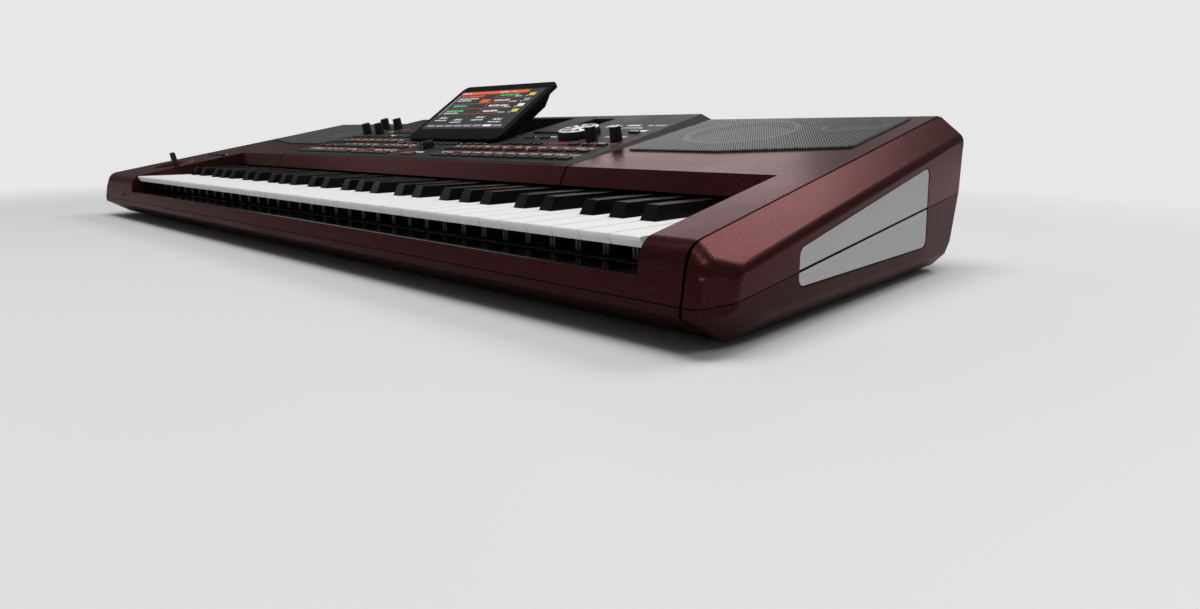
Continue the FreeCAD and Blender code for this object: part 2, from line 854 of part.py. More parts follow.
BOARD_END = f"({REAR} - heel_foot)"
STANDOFFS = [
    (f"{side} * (main_board_width / 2 - standoff_inset)", y)
    for side in (-1, 1) for y in (f"{BOARD_Y} + standoff_inset", f"{BOARD_END} - standoff_inset")
]
bosses = [rod("z", "boss_radius", x, y, ("foot_height", f"{FLOOR} + standoff")) for x, y in STANDOFFS]
bosses += [rod("z", "screw_boss", x, y, ("foot_height", f"{FLOOR} + screw_boss_height")) for x, y in SCREWS]
screw_holes = [
    rod("z", "screw_radius + screw_fit", x, y, ("0", f"{FLOOR} + screw_boss_height + wall"))
    for x, y in SCREWS
]
tray = fuse(cut(lower_outer, lower_cavity), *bosses)
node(cut(tray, *screw_holes), "lower_case")

# Case screws: pan heads under the tray, threaded into its bosses.
screws = []
for x, y in SCREWS:
    head = rod("z", "screw_head", x, y, ("foot_height - screw_head_height", "foot_height"))
    shank = rod("z", "screw_radius", x, y, ("foot_height - screw_head_height", "foot_height + screw_length"))
    screws.append(fuse(head, shank))
node(group(*screws), "case_screws")

# Rubber feet.
FEET = [
    (f"{side} * foot_x", f"{FRONT} + {row}")
    for side in (-1, 0, 1) for row in ("foot_front", "foot_rear")
]
node(group(*[rod("z", "foot_radius", x, y, ("0", "foot_height")) for x, y in FEET]), "rubber_feet")

# End cheeks: lofted across three sections, so that the top bevel, the front corner and the sole turn in.
CHEEK_IN = "(case_width / 2 - cheek_width)"
CHEEK_OUT = "(case_width / 2)"


def cheek_section(drop, back, sole, tuck):
    """Side profile of a cheek, lowered on top and drawn in at the front, bottom and rear."""
    face = f"({FRONT} + {back})"
    nose = f"({NOSE} + {back})"
    rear = f"({REAR} - {tuck})"
    return [
        (face, parting(face)),
        (nose, f"{deck(nose)} - {drop}"),
        (rear, f"{deck(rear)} - {drop}"),
        (rear, parting(rear)),
        (f"{rear} - heel_run", f"heel_height + {sole} / 2"),
        (f"{rear} - heel_foot", f"foot_height + {sole}"),
        (f"{face} + chin_run", f"foot_height + {sole}"),
        (face, f"{parting(face)} - skirt_band"),
    ]


cheek = new_body("cheek")
FLAT_SHARE = "cheek_flat / cheek_width"
sections = [
    polygon(cheek, "YZ_Plane", cheek_section("0", "0", "0", "0"), CHEEK_IN),
    polygon(cheek, "YZ_Plane", cheek_section(f"(cheek_drop * {FLAT_SHARE})", "0", "0", "0"),
            f"{CHEEK_IN} + cheek_flat"),
    polygon(cheek, "YZ_Plane", cheek_section("cheek_drop", "cheek_corner", "cheek_sole", "0"), CHEEK_OUT),
]
loft = cheek.newObject("PartDesign::AdditiveLoft", "loft")
loft.Profile = sections[2]
loft.Sections = [sections[1], sections[0]]
loft.Ruled = True


def across(edge):
    return edge.BoundBox.XLength > 1


def cheek_nose(edge):
    middle = edge.CenterOfMass
    at_front = middle.y < number_of(f"{NOSE} + cheek_corner")
    return across(edge) and at_front and middle.z > number_of("rail_top")


def cheek_tail(edge):
    middle = edge.CenterOfMass
    at_top = middle.z > number_of(f"{deck(REAR)} - cheek_drop")
    return across(edge) and close(middle.y, number_of(REAR)) and at_top


def cheek_rim(edge):
    return close(edge.BoundBox.XMin, number_of(CHEEK_OUT))


def cheek_seam(edge):
    return close(edge.BoundBox.XMax, number_of(CHEEK_IN))


def cheek_corner(edge):
    on_flat = close(edge.CenterOfMass.x, number_of(f"{CHEEK_IN} + cheek_flat")) and not across(edge)
    return on_flat and edge.CenterOfMass.y < number_of(f"{FRONT} + cheek_corner / 2")


soften(cheek, "Fillet", "nose_radius", cheek_nose)
soften(cheek, "Fillet", "tail_radius", cheek_tail)
soften(cheek, "Fillet", "min(cheek_radius; 0.4 * cheek_width)", cheek_rim)
soften(cheek, "Fillet", "min(cheek_corner_radius; 0.3 * cheek_width)", cheek_corner)
soften(cheek, "Chamfer", "seam_chamfer", cheek_seam)


def insert_outline(grow):
    """Outline of the side plates: level below, parallel to the deck above, and leaning at the rear."""
    front = f"({FRONT} + insert_front - {grow})"
    rear = f"({FRONT} + insert_front + insert_length + {grow})"
    return [
        (front, f"insert_base - {grow}"),
        (f"{rear} + insert_lean", f"insert_base - {grow}"),
        (rear, f"{deck(rear)} - insert_drop + {grow}"),
        (front, f"{deck(front)} - insert_drop + {grow}"),
    ]


def insert_plate(grow, sink, thickness):
    inner = f"{CHEEK_OUT} - {sink} - ({thickness})"
    plate = solid("insert", "YZ_Plane", insert_outline(grow), thickness, inner)
    along_x = lambda edge: close(edge.BoundBox.YLength, 0) and close(edge.BoundBox.ZLength, 0)
    soften(plate, "Fillet", f"insert_radius + {grow}", along_x)
    return plate


SEAM_RUN = "(2 * wall)"


def parting_slab(gap, low, high):
    """The thin wedge of air at the parting line, from one X to another."""
    before, behind = f"({FRONT} - {SEAM_RUN})", f"({REAR} + {SEAM_RUN})"
    return solid("parting_slab", "YZ_Plane", [
        (before, f"{parting(before)} - {gap} / 2"),
        (behind, f"{parting(behind)} - {gap} / 2"),
        (behind, f"{parting(behind)} + {gap} / 2"),
        (before, f"{parting(before)} + {gap} / 2"),
    ], f"{high} - {low}", low)


def half_space(upper):
    """All that lies above or below the parting line, less half of its gap."""
    before, behind = f"({FRONT} - {SEAM_RUN})", f"({REAR} + {SEAM_RUN})"
    limit = f"({deck(REAR)} + wall)" if upper else "(-wall)"
    sign = "+" if upper else "-"
    return solid("half", "YZ_Plane", [
        (before, f"{parting(before)} {sign} part_gap / 2"),
        (behind, f"{parting(behind)} {sign} part_gap / 2"),
        (behind, limit),
        (before, limit),
    ], f"2 * {SEAM_RUN} + cheek_width", f"{CHEEK_IN} - {SEAM_RUN}")


def meet(first, second):
    item = doc.addObject("Part::MultiCommon", "common")
    item.Shapes = [first, second]
    return item


recessed = cut(cheek, insert_plate("insert_gap", "0", "insert_thickness + insert_sink"))
for word, upper in (("upper", True), ("lower", False)):
    right = meet(recessed, half_space(upper))
    node(mirror(right), f"left_cheek_{word}")
    node(right, f"right_cheek_{word}")

# Side inserts: silver plates let into the cheeks, split at the parting line.
seam = parting_slab("(2 * insert_gap)", f"({CHEEK_OUT} - cheek_width)", f"({CHEEK_OUT} + wall)")
right_inserts = cut(insert_plate("0", "insert_sink", "insert_thickness"), seam)
node(group(right_inserts, mirror(right_inserts)), "side_inserts")

# Control panel: a dark wedge on the deck, flush at the front and raised at the rear, with bevelled sides.
PANEL_RISE = f"({PANEL_Z} + panel_run * tan(panel_angle) - {deck(PANEL_REAR)})"


def panel_section(y, rise, bevel):
    """Cross-section of the panel at a depth, from its underside to its raised top."""
    half = "(panel_width / 2)"
    low = f"{deck(y)} - panel_thickness"
    return [
        (f"-{half}", low),
        (half, low),
        (half, deck(y)),
        (f"{half} - {bevel}", f"{deck(y)} + {rise}"),
        (f"-{half} + {bevel}", f"{deck(y)} + {rise}"),
        (f"-{half}", deck(y)),
    ]


panel = new_body("panel")
FRONT_BEVEL = f"(panel_bevel * panel_step / {PANEL_RISE})"
front_section = polygon(panel, "XZ_Plane", panel_section(PANEL_Y, "panel_step", FRONT_BEVEL), f"-{PANEL_Y}")
rear_section = polygon(panel, "XZ_Plane", panel_section(PANEL_REAR, PANEL_RISE, "panel_bevel"),
                       f"-{PANEL_REAR}")
wedge = panel.newObject("PartDesign::AdditiveLoft", "wedge")
wedge.Profile = front_section
wedge.Sections = [rear_section]
wedge.Ruled = True


def tub(x, along, depth, thickness):
    """A pocket moulded under the panel, or its walls when given a thickness."""
    top = "wall" if thickness == "0" else "-panel_thickness / 4"
    return on_panel(local_box(
        (f"{x[0]} - {thickness}", f"{x[1]} + {thickness}"),
        (f"{along[0]} - {thickness}", f"{along[1]} + {thickness}"),
        (f"-{depth} - {thickness}", top),
    ))


POCKETS = [(("-well_half", "well_half"), ("well_front", "well_front + well_length"), "well_depth")]
for side in (-1, 1):
    middle = f"{side} * stand_x"
    POCKETS.append((
        (f"{middle} - stand_width / 2", f"{middle} + stand_width / 2"),
        ("stand_front", "stand_front + stand_length"),
        "stand_depth",
    ))


def panel_rod(x, along, radius, low, high):
    return on_panel(turned("panel_rod", rectangle(("0", radius), (low, high))), x, along)


board_bosses = [
    panel_rod(f"{side} * boss_x", "boss_along", "boss_radius", "-panel_board_drop", "-panel_thickness / 2")
    for side in (-1, 1)
]


def button_row(number, size, grow, low, high):
    """One row of buttons, or the holes that they stand in when grown by their clearance."""
    width = f"{size}_width"
    depth = "large_depth" if size == "start" else f"{size}_depth"
    half_width, half_depth = f"({width} / 2 + {grow})", f"({depth} / 2 + {grow})"
    row = solid("button", "XY_Plane",
                rectangle((f"-{half_width}", half_width), (f"-{half_depth}", half_depth)),
                f"({high}) - ({low})", low)
    if grow == "0":
        soften(row, "Chamfer", "button_round", lambda edge: close(edge.CenterOfMass.z, number_of(high)))
    if SIZES[f"row_{number}_count"] > 1:
        row_of(row, f"row_{number}_pitch", f"row_{number}_count")
    return on_panel(row, f"row_{number}_x", f"line_{BUTTON_ROWS[number - 1][1]}")


button_holes = [
    button_row(number, row[-1], "button_fit", "-3 * panel_thickness", "wall")
    for number, row in enumerate(BUTTON_ROWS, start=1)
]

KNOBS = {}
for index in range(4):
    column, line = index % 2, index // 2
    KNOBS[f"mix_knob_{index + 1}"] = (f"mix_x + {column} * mix_pitch", f"mix_along + {line} * mix_step")
for index in range(2):
    KNOBS[f"level_knob_{index + 1}"] = (f"level_x + {index} * level_pitch", "level_along")
SHAFTS = dict(KNOBS, data_dial=("dial_x", "dial_along"))
shaft_holes = [
    panel_rod(x, along, "shaft_radius + shaft_play", "-4 * panel_thickness", "wall")
    for x, along in SHAFTS.values()
]
FADER_REACH = "fader_reach"
fader_slot = on_panel(local_box(
    (f"-{FADER_REACH}", FADER_REACH),
    ("-fader_stem_depth / 2 - fader_play", "fader_stem_depth / 2 + fader_play"),
    ("-2 * panel_thickness", "wall"),
), "fader_x", "line_second")

shell = fuse(panel, *[tub(*pocket_size, "wall") for pocket_size in POCKETS], *board_bosses)
wells = [tub(*pocket_size, "0") for pocket_size in POCKETS]
node(cut(shell, *wells, *button_holes, *shaft_holes, fader_slot), "control_panel")

# Push buttons, in groups that share a node.
for name, label in (("style", "style_buttons"), ("sound", "sound_buttons"), ("menu", "menu_buttons"),
                    ("start", "start_button")):
    node(group(*[
        button_row(number, row[-1], "0", "-button_stem", "button_rise")
        for number, row in enumerate(BUTTON_ROWS, start=1) if row[0] == name
    ]), label)
node(switch_row("0", "-switch_stem", "button_rise"), "assign_switches")

# Board under the buttons, hung from the panel's bosses.
BOARD_HALF = "(panel_width / 2 - panel_board_inset)"
node(on_panel(local_box(
    (f"-{BOARD_HALF}", BOARD_HALF),
    ("panel_board_front", "well_front - wall - panel_board_gap"),
    ("-panel_board_drop - board", "-panel_board_drop"),
)), "panel_board")

# Knobs: a tapered cap with a notch for the pointer, on a shaft that runs in its pot.
for name, (x, along) in KNOBS.items():
    knob = turned("knob", [
        ("0", "-shaft_length"),
        ("shaft_radius", "-shaft_length"),
        ("shaft_radius", "knob_lift"),
        ("knob_radius", "knob_lift"),
        ("knob_top_radius", "knob_lift + knob_height - knob_edge"),
        ("knob_top_radius - knob_edge", "knob_lift + knob_height"),
        ("0", "knob_lift + knob_height"),
    ])
    notch = polygon(knob, "XY_Plane",
                    rectangle(("-knob_edge", "knob_edge"), ("knob_top_radius / 2", "2 * knob_radius")),
                    "knob_lift + knob_height - knob_edge")
    pocket(knob, notch, "2 * knob_edge")
    node(on_panel(knob, x, along), name)

# Data dial: a low wheel with a dished hub and wedge-shaped recesses between its spokes.
dial = turned("dial", [
    ("0", "-shaft_length"),
    ("shaft_radius", "-shaft_length"),
    ("shaft_radius", "knob_lift"),
    ("dial_radius", "knob_lift"),
    ("dial_radius", "knob_lift + dial_height / 2"),
    ("dial_radius - dial_dish", "knob_lift + dial_height"),
    ("dial_dish_radius", "knob_lift + dial_height"),
    ("dial_dish_radius / 2", "knob_lift + dial_height - dial_dish"),
    ("0", "knob_lift + dial_height - dial_dish"),
])
notch = polygon(dial, "XY_Plane", [
    ("-dial_notch_width / 2", "dial_hub"),
    ("dial_notch_width / 2", "dial_hub"),
    ("dial_notch_flare / 2", "dial_radius - dial_rim"),
    ("-dial_notch_flare / 2", "dial_radius - dial_rim"),
], "knob_lift + dial_height - dial_notch_depth")
notches = dial.newObject("PartDesign::PolarPattern", "notches")
notches.Originals = [pocket(dial, notch, "dial_height")]
notches.Axis = (origin(dial, "Z_Axis"), [""])
notches.Angle = 360
bind(notches, Occurrences="dial_notches")
dial.Tip = notches
node(on_panel(dial, "dial_x", "dial_along"), "data_dial")

# Crossfader: a waisted cap on a flat stem.
cap_half = "(fader_cap_depth / 2)"
fader = solid("fader", "YZ_Plane", [
    (f"-{cap_half}", "knob_lift"),
    (cap_half, "knob_lift"),
    (f"{cap_half} - knob_edge", "knob_lift + fader_cap_height"),
    (f"{cap_half} / 3", "knob_lift + fader_cap_height * 0.75"),
    (f"-{cap_half} / 3", "knob_lift + fader_cap_height * 0.75"),
    (f"-{cap_half} + knob_edge", "knob_lift + fader_cap_height"),
], "fader_cap_width", symmetric=True)
FADER_TOP = f"({panel_underside('line_second')} - fader_play / 2)"
stem = polygon(fader, "XY_Plane", rectangle(
    ("-fader_stem_width / 2", "fader_stem_width / 2"),
    ("-fader_stem_depth / 2", "fader_stem_depth / 2"),
), f"{FADER_TOP} - fader_groove")
pad(fader, stem, f"fader_groove - {FADER_TOP} + 2 * knob_lift")
node(on_panel(fader, "fader_x", "line_second"), "crossfader")

# Pots, encoder and slide pot: bodies under the panel, each with a bore or slot for its shaft.
pots = []
for x, along in SHAFTS.values():
    top = f"({panel_underside(f'({along} + pot_width / 2)')} - fader_play / 2)"
    case = local_box(("-pot_width / 2", "pot_width / 2"), ("-pot_width / 2", "pot_width / 2"),
                     (f"{top} - pot_height", top))
    bore = turned("bore", rectangle(("0", "shaft_radius + shaft_fit"),
                                    (f"{top} - pot_height - wall", "wall")))
    pots.append(cut(on_panel(case, x, along), on_panel(bore, x, along)))
FADER_HALF = f"({FADER_REACH} + wall)"
track = local_box((f"-{FADER_HALF}", FADER_HALF), ("-fader_body_depth / 2", "fader_body_depth / 2"),
                  ("fader_play - panel_board_drop", FADER_TOP))
groove = local_box(
    (f"-{FADER_REACH}", FADER_REACH),
    ("-fader_stem_depth / 2 - fader_play / 2", "fader_stem_depth / 2 + fader_play / 2"),
    (f"{FADER_TOP} - fader_groove - fader_play", "wall"),
)
pots.append(cut(on_panel(track, "fader_x", "line_second"), on_panel(groove, "fader_x", "line_second")))
node(group(*pots), "panel_pots")

# Keys: white keys with notched tails, black keys between them, one octave repeated along the case.
BLACK_SLOT = "(black_width + 2 * key_gap)"
TAIL_THREE = f"((3 * white_pitch - 2 * {BLACK_SLOT}) / 3)"
TAIL_FOUR = f"((4 * white_pitch - 3 * {BLACK_SLOT}) / 4)"
KEY_FOOT = "(key_top - key_depth)"
TAIL_TOP = "(key_top - tail_drop)"
TAIL_FOOT = "(key_top - tail_drop - tail_height)"
TAIL_END = f"({PIVOT_Y} + tail_length)"
FOOT_END = f"({LIP} + tail_start)"

pivot_cut = fuse(
    rod("x", "pivot_radius + pivot_fit", ("key_left - wall", f"{KEY_RIGHT} + wall"), PIVOT_Y, "pivot_height"),
    box(("key_left - wall", f"{KEY_RIGHT} + wall"),
        (f"{PIVOT_Y} - pivot_radius - pivot_fit", f"{PIVOT_Y} + pivot_radius + pivot_fit"),
        ("0", "pivot_height")),
)


def white_key(place_in_row, left_notch, right_notch, copies):
    """A white key with a nosing over a set-back skirt, hollow behind the lip, notched for its black keys."""
    width = "(white_pitch - key_gap)"
    key = solid("white_key", "YZ_Plane", [
        (LIP, "key_top"),
        (FOOT_END, "key_top"),
        (FOOT_END, TAIL_TOP),
        (TAIL_END, TAIL_TOP),
        (TAIL_END, TAIL_FOOT),
        (FOOT_END, TAIL_FOOT),
        (FOOT_END, KEY_FOOT),
        (f"{LIP} + lip_overhang", KEY_FOOT),
        (f"{LIP} + lip_overhang", "key_top - lip_height"),
        (f"{LIP} + skirt_step + skirt_slant", "key_top - lip_height"),
        (f"{LIP} + skirt_step", "key_top - nosing"),
        (LIP, "key_top - nosing"),
    ], width)
    soften(key, "Fillet", "nosing_radius", at_point(LIP, "key_top"))
    hollow_front = f"{LIP} + lip_overhang - wall"
    hollow_outline = rectangle((hollow_front, f"{LIP} + black_front - 2 * key_wall"),
                               (f"{KEY_FOOT} - wall", "key_top - key_skin"))
    pocket(key, polygon(key, "YZ_Plane", hollow_outline, "key_wall"), f"{width} - 2 * key_wall")
    notch_front, notch_end = f"{LIP} + black_front - key_gap", f"{TAIL_END} + wall"
    if left_notch:
        notch = polygon(key, "XY_Plane", rectangle(("-wall", left_notch), (notch_front, notch_end)))
        pocket(key, notch, "key_top + wall")
    if right_notch:
        edges = (f"{width} - ({right_notch})", f"{width} + wall")
        pocket(key, polygon(key, "XY_Plane", rectangle(edges, (notch_front, notch_end))), "key_top + wall")
    if copies:
        row_of(key, "7 * white_pitch", "octaves")
    return place(key, f"key_left + {place_in_row} * white_pitch + key_gap / 2")


def black_key(centre):
    """A black key with a raked front, drawn-in sides and softened top edges."""
    top = "(key_top + black_rise)"
    key = solid("black_key", "YZ_Plane", [
        (f"{LIP} + black_front", KEY_FOOT),
        (f"{LIP} + black_front", "key_top"),
        (f"{LIP} + black_front + black_rake", top),
        (FOOT_END, top),
        (FOOT_END, TAIL_TOP),
        (TAIL_END, TAIL_TOP),
        (TAIL_END, TAIL_FOOT),
        (FOOT_END, TAIL_FOOT),
        (FOOT_END, KEY_FOOT),
    ], "black_width", symmetric=True)
    for side in (-1, 1):
        flank = polygon(key, "XZ_Plane", [
            (f"{side} * black_width / 2", "key_top"),
            (f"{side} * black_top_width / 2", top),
            (f"{side} * black_width", top),
            (f"{side} * black_width", "key_top"),
        ], f"-{FOOT_END}")
        pocket(key, flank, "tail_start")

    def top_edge(edge):
        middle = edge.CenterOfMass
        return close(middle.z, number_of(top)) and middle.y < number_of(FOOT_END) - 1

    soften(key, "Fillet", "black_radius", top_edge)
    row_of(key, "7 * white_pitch", "octaves")
    return place(key, f"key_left + {centre}")


HALF_GAP = "key_gap / 2"
C_NOTCH = f"white_pitch - {TAIL_THREE} - {HALF_GAP}"
D_NOTCH = f"{TAIL_THREE} + {BLACK_SLOT} - white_pitch - {HALF_GAP}"
F_NOTCH = f"white_pitch - {TAIL_FOUR} - {HALF_GAP}"
G_LEFT = f"{TAIL_FOUR} + {BLACK_SLOT} - white_pitch - {HALF_GAP}"
G_RIGHT = f"2 * white_pitch - 2 * {TAIL_FOUR} - {BLACK_SLOT} - {HALF_GAP}"
WHITE_KEYS = {
    "c": (0, None, C_NOTCH),
    "d": (1, D_NOTCH, D_NOTCH),
    "e": (2, C_NOTCH, None),
    "f": (3, None, F_NOTCH),
    "g": (4, G_LEFT, G_RIGHT),
    "a": (5, G_RIGHT, G_LEFT),
    "b": (6, F_NOTCH, None),
}
BLACK_KEYS = {
    "cs": f"{TAIL_THREE} + {BLACK_SLOT} / 2",
    "ds": f"2 * {TAIL_THREE} + 1.5 * {BLACK_SLOT}",
    "fs": f"3 * white_pitch + {TAIL_FOUR} + {BLACK_SLOT} / 2",
    "gs": f"3 * white_pitch + 2 * {TAIL_FOUR} + 1.5 * {BLACK_SLOT}",
    "as": f"3 * white_pitch + 3 * {TAIL_FOUR} + 2.5 * {BLACK_SLOT}",
}
for name, (index, left, right) in WHITE_KEYS.items():
    keys = white_key(index, left, right, copies=True)
    if name == "c":
        keys = group(keys, white_key("7 * octaves", None, None, copies=False))
    node(cut(keys, pivot_cut), f"keys_{name}")
for name, centre in BLACK_KEYS.items():
    node(cut(black_key(centre), pivot_cut), f"keys_{name}")

# Keybed frame: folded steel on the tray, with a felt ledge in front and a rolled edge that the keys rock on.
FELT_Y = f"({LIP} + felt_back)"
FELT_TOP = f"({KEY_FOOT} - (pivot_back - felt_back) * sin(key_dip) - felt_play)"
LEDGE = f"({FELT_TOP} - felt_height)"
CONTACT_Y = f"({LIP} + contact_back)"
KEY_SPAN = ("key_left", KEY_RIGHT)
frame = fuse(
    box(KEY_SPAN, (FELT_Y, TAIL_END), (FLOOR, f"{FLOOR} + steel")),
    box(KEY_SPAN, (FELT_Y, f"{FELT_Y} + steel"), (FLOOR, LEDGE)),
    box(KEY_SPAN, (FELT_Y, f"{FELT_Y} + felt_width"), (f"{LEDGE} - steel", LEDGE)),
    box(KEY_SPAN, (CONTACT_Y, f"{CONTACT_Y} + steel"), (FLOOR, f"{FLOOR} + contact_height")),
    box(KEY_SPAN, (f"{CONTACT_Y} + contact_width - steel", f"{CONTACT_Y} + contact_width"),
        (FLOOR, f"{FLOOR} + contact_height")),
    box(KEY_SPAN, (f"{PIVOT_Y} - steel / 2", f"{PIVOT_Y} + steel / 2"), (FLOOR, "pivot_height")),
    rod("x", "pivot_radius", KEY_SPAN, PIVOT_Y, "pivot_height"),
)
node(frame, "keybed_frame")
node(box(KEY_SPAN, (FELT_Y, f"{FELT_Y} + felt_width"), (LEDGE, FELT_TOP)), "key_felts")
node(box(KEY_SPAN, (CONTACT_Y, f"{CONTACT_Y} + contact_width"),
         (f"{FLOOR} + contact_height", f"{FLOOR} + contact_height + board")), "key_contact_board")

# Tilting display, drawn folded flat on the panel and placed at its raised angle about the hinge.
DISPLAY_TILT = "panel_angle + display_rest"
HINGE_Y = f"({PANEL_Y} + hinge_along * cos(panel_angle) + hinge_drop * sin(panel_angle))"
HINGE_Z = f"({PANEL_Z} + hinge_along * sin(panel_angle) - hinge_drop * cos(panel_angle))"
FACE_DOWN = "(hinge_drop + display_lift)"
FACE_UP = f"({FACE_DOWN} + display_thickness)"


def on_hinge(item, tilt=DISPLAY_TILT):
    return place(item, "0", HINGE_Y, HINGE_Z, tilt)


def along_height(edge):
    return close(edge.BoundBox.XLength, 0) and close(edge.BoundBox.YLength, 0)


SCREEN_HALF = "(screen_width / 2)"
SCREEN_REAR = "screen_front + screen_length"
bezel_outline = rectangle(("-display_width / 2", "display_width / 2"), ("0", "display_length"))
plate = solid("bezel", "XY_Plane", bezel_outline, "display_thickness", FACE_DOWN)
soften(plate, "Fillet", "display_corner", along_height)
recess = polygon(plate, "XY_Plane", rectangle((f"-{SCREEN_HALF} - screen_fit", f"{SCREEN_HALF} + screen_fit"),
                                              ("screen_front - screen_fit", f"{SCREEN_REAR} + screen_fit")),
                 f"{FACE_UP} - screen_thickness")
pocket(plate, recess, "screen_thickness + wall")


def bezel_rim(edge):
    """Edges round the front of the bezel, outside the screen."""
    middle, extent = edge.CenterOfMass, edge.BoundBox
    beside = abs(middle.x) > number_of(f"{SCREEN_HALF} + screen_fit")
    beyond = close(middle.y, 0) or close(middle.y, number_of("display_length"))
    return close(extent.ZMin, number_of(FACE_UP)) and close(extent.ZLength, 0) and (beside or beyond)


soften(plate, "Fillet", "display_edge", bezel_rim)
node(on_hinge(plate), "display_bezel")
node(on_hinge(local_box((f"-{SCREEN_HALF}", SCREEN_HALF), ("screen_front", SCREEN_REAR),
                        (f"{FACE_UP} - screen_thickness", FACE_UP))), "display_glass")

BACK_REAR = "(back_front + back_length)"


def housing(inset):
    """The display's housing, or the room inside it when inset by its wall."""
    front, rear = f"(back_front + {inset})", f"({BACK_REAR} - {inset})"
    floor = f"({FACE_DOWN} - back_thickness + {inset})"
    return solid("housing", "YZ_Plane", [
        (front, FACE_DOWN),
        (rear, FACE_DOWN),
        (rear, f"{floor} + back_taper"),
        (f"{rear} - 2 * back_taper", floor),
        (f"{front} + back_taper", floor),
        (front, f"{floor} + back_taper"),
    ], f"2 * (back_half - {inset})", symmetric=True)


ears = []
for side in (-1, 1):
    edges = (f"{side} * hinge_x - ear_width / 2", f"{side} * hinge_x + ear_width / 2")
    ears.append(box(edges, ("-ear_radius * 0.2", "back_front + back_wall"), ("0", FACE_DOWN)))
    ears.append(rod("x", "ear_radius", edges, "0", "0"))
pin_bore = rod("x", "hinge_pin + hinge_fit", ("-back_half", "back_half"), "0", "0")
node(on_hinge(cut(fuse(housing("0"), *ears), housing("back_wall"), pin_bore)), "display_back")

# Hinge brackets: angles on the floor of the well, each with a pin through an ear of the display.
brackets = []
PIN_START = "(hinge_x + ear_width / 2 + display_lift)"
WELL_FLOOR = "(hinge_drop - well_depth)"
for side in (-1, 1):
    plate_x = (f"{side} * {PIN_START}", f"{side} * ({PIN_START} + wall)")
    pin_x = (f"{side} * ({PIN_START} + wall / 2)", f"{side} * (hinge_x - ear_width / 2)")
    if side < 0:
        plate_x = plate_x[::-1]
    else:
        pin_x = pin_x[::-1]
    brackets.append(fuse(
        box(plate_x, ("-hinge_pin", "ear_radius + wall"), (WELL_FLOOR, "hinge_pin + hinge_fit")),
        rod("x", "hinge_pin", pin_x, "0", "0"),
    ))
node(on_hinge(group(*brackets), "panel_angle"), "display_bracket")

# Joystick: a lever in a gimbal frame, in a base that hangs from the deck under the bowl.
YOKE_X, YOKE_Y = "(yoke_width / 2)", "(yoke_depth / 2)"


def at_stick(item):
    return on_deck(item, "joy_x", "joy_along", "-joy_pivot")


stick = turned("stick", [
    ("0", "-yoke_height / 2"),
    ("stick_radius", "-yoke_height / 2"),
    ("stick_radius", "joy_pivot"),
    ("stick_top_radius", "joy_pivot + joy_rise - knob_edge"),
    ("stick_top_radius - knob_edge", "joy_pivot + joy_rise"),
    ("0", "joy_pivot + joy_rise"),
])
stick_pin = rod("y", "stick_pin", "0", (f"-{YOKE_Y}", YOKE_Y), "0")
node(at_stick(fuse(stick, stick_pin)), "joystick_lever")
yoke = local_box((f"-{YOKE_X}", YOKE_X), (f"-{YOKE_Y}", YOKE_Y), ("-yoke_height / 2", "yoke_height / 2"))
yoke_gap = local_box((f"-{YOKE_X} + yoke_wall", f"{YOKE_X} - yoke_wall"),
                     (f"-{YOKE_Y} + yoke_wall", f"{YOKE_Y} - yoke_wall"), ("-yoke_height", "yoke_height"))
yoke_bore = rod("y", "stick_pin + pin_fit", "0", ("-yoke_depth", "yoke_depth"), "0")
BEARING_IN = f"({YOKE_X} + knob_lift)"
BEARING_OUT = f"({BEARING_IN} + joy_bearing)"
yoke_pins = [
    rod("x", "yoke_pin", (f"-{BEARING_OUT}", f"-{YOKE_X} + wall / 2"), "0", "0"),
    rod("x", "yoke_pin", (f"{YOKE_X} - wall / 2", BEARING_OUT), "0", "0"),
]
node(at_stick(fuse(cut(yoke, yoke_gap, yoke_bore), *yoke_pins)), "joystick_gimbal")
BASE_LOW = "(-joy_foot - joy_bearing)"
POST_IN = "(bowl_rim + joy_post_gap)"
POST_OUT = f"({POST_IN} + joy_post)"
base_parts = [
    local_box((f"-{BEARING_OUT}", BEARING_OUT), (f"-{POST_OUT}", POST_OUT), (BASE_LOW, "-joy_foot")),
]
for side in (-1, 1):
    post = sorted((f"{side} * {POST_IN}", f"{side} * {POST_OUT}"), key=number_of)
    bearing = sorted((f"{side} * {BEARING_IN}", f"{side} * {BEARING_OUT}"), key=number_of)
    base_parts.append(local_box((f"-{BEARING_OUT}", BEARING_OUT), post, (BASE_LOW, "joy_pivot - wall")))
    base_parts.append(local_box(bearing, (f"-{YOKE_Y} / 2", f"{YOKE_Y} / 2"), (BASE_LOW, "2 * yoke_pin")))
base_bore = rod("x", "yoke_pin + pin_fit", (f"-{BEARING_OUT} - wall", f"{BEARING_OUT} + wall"), "0", "0")
node(at_stick(cut(fuse(*base_parts), base_bore)), "joystick_base")


# Speakers: baskets screwed under the deck, with their cones inside.
def basket(x, along, radius):
    magnet = f"({radius} * magnet_share)"
    body = turned("basket", [
        (radius, "0"),
        (f"{radius} + speaker_flange", "0"),
        (f"{radius} + speaker_flange", "-speaker_plate"),
        (f"{radius} + wall", "-speaker_plate"),
        (magnet, f"-speaker_depth * {radius} / woofer_radius"),
        (magnet, f"-speaker_depth * {radius} / woofer_radius - magnet_height"),
        ("0", f"-speaker_depth * {radius} / woofer_radius - magnet_height"),
        ("0", f"-speaker_depth * {radius} / woofer_radius + wall"),
        (f"{magnet} - wall", f"-speaker_depth * {radius} / woofer_radius + wall"),
        (radius, "-speaker_plate - wall / 2"),
    ])
    return on_deck(body, x, along, "-wall")


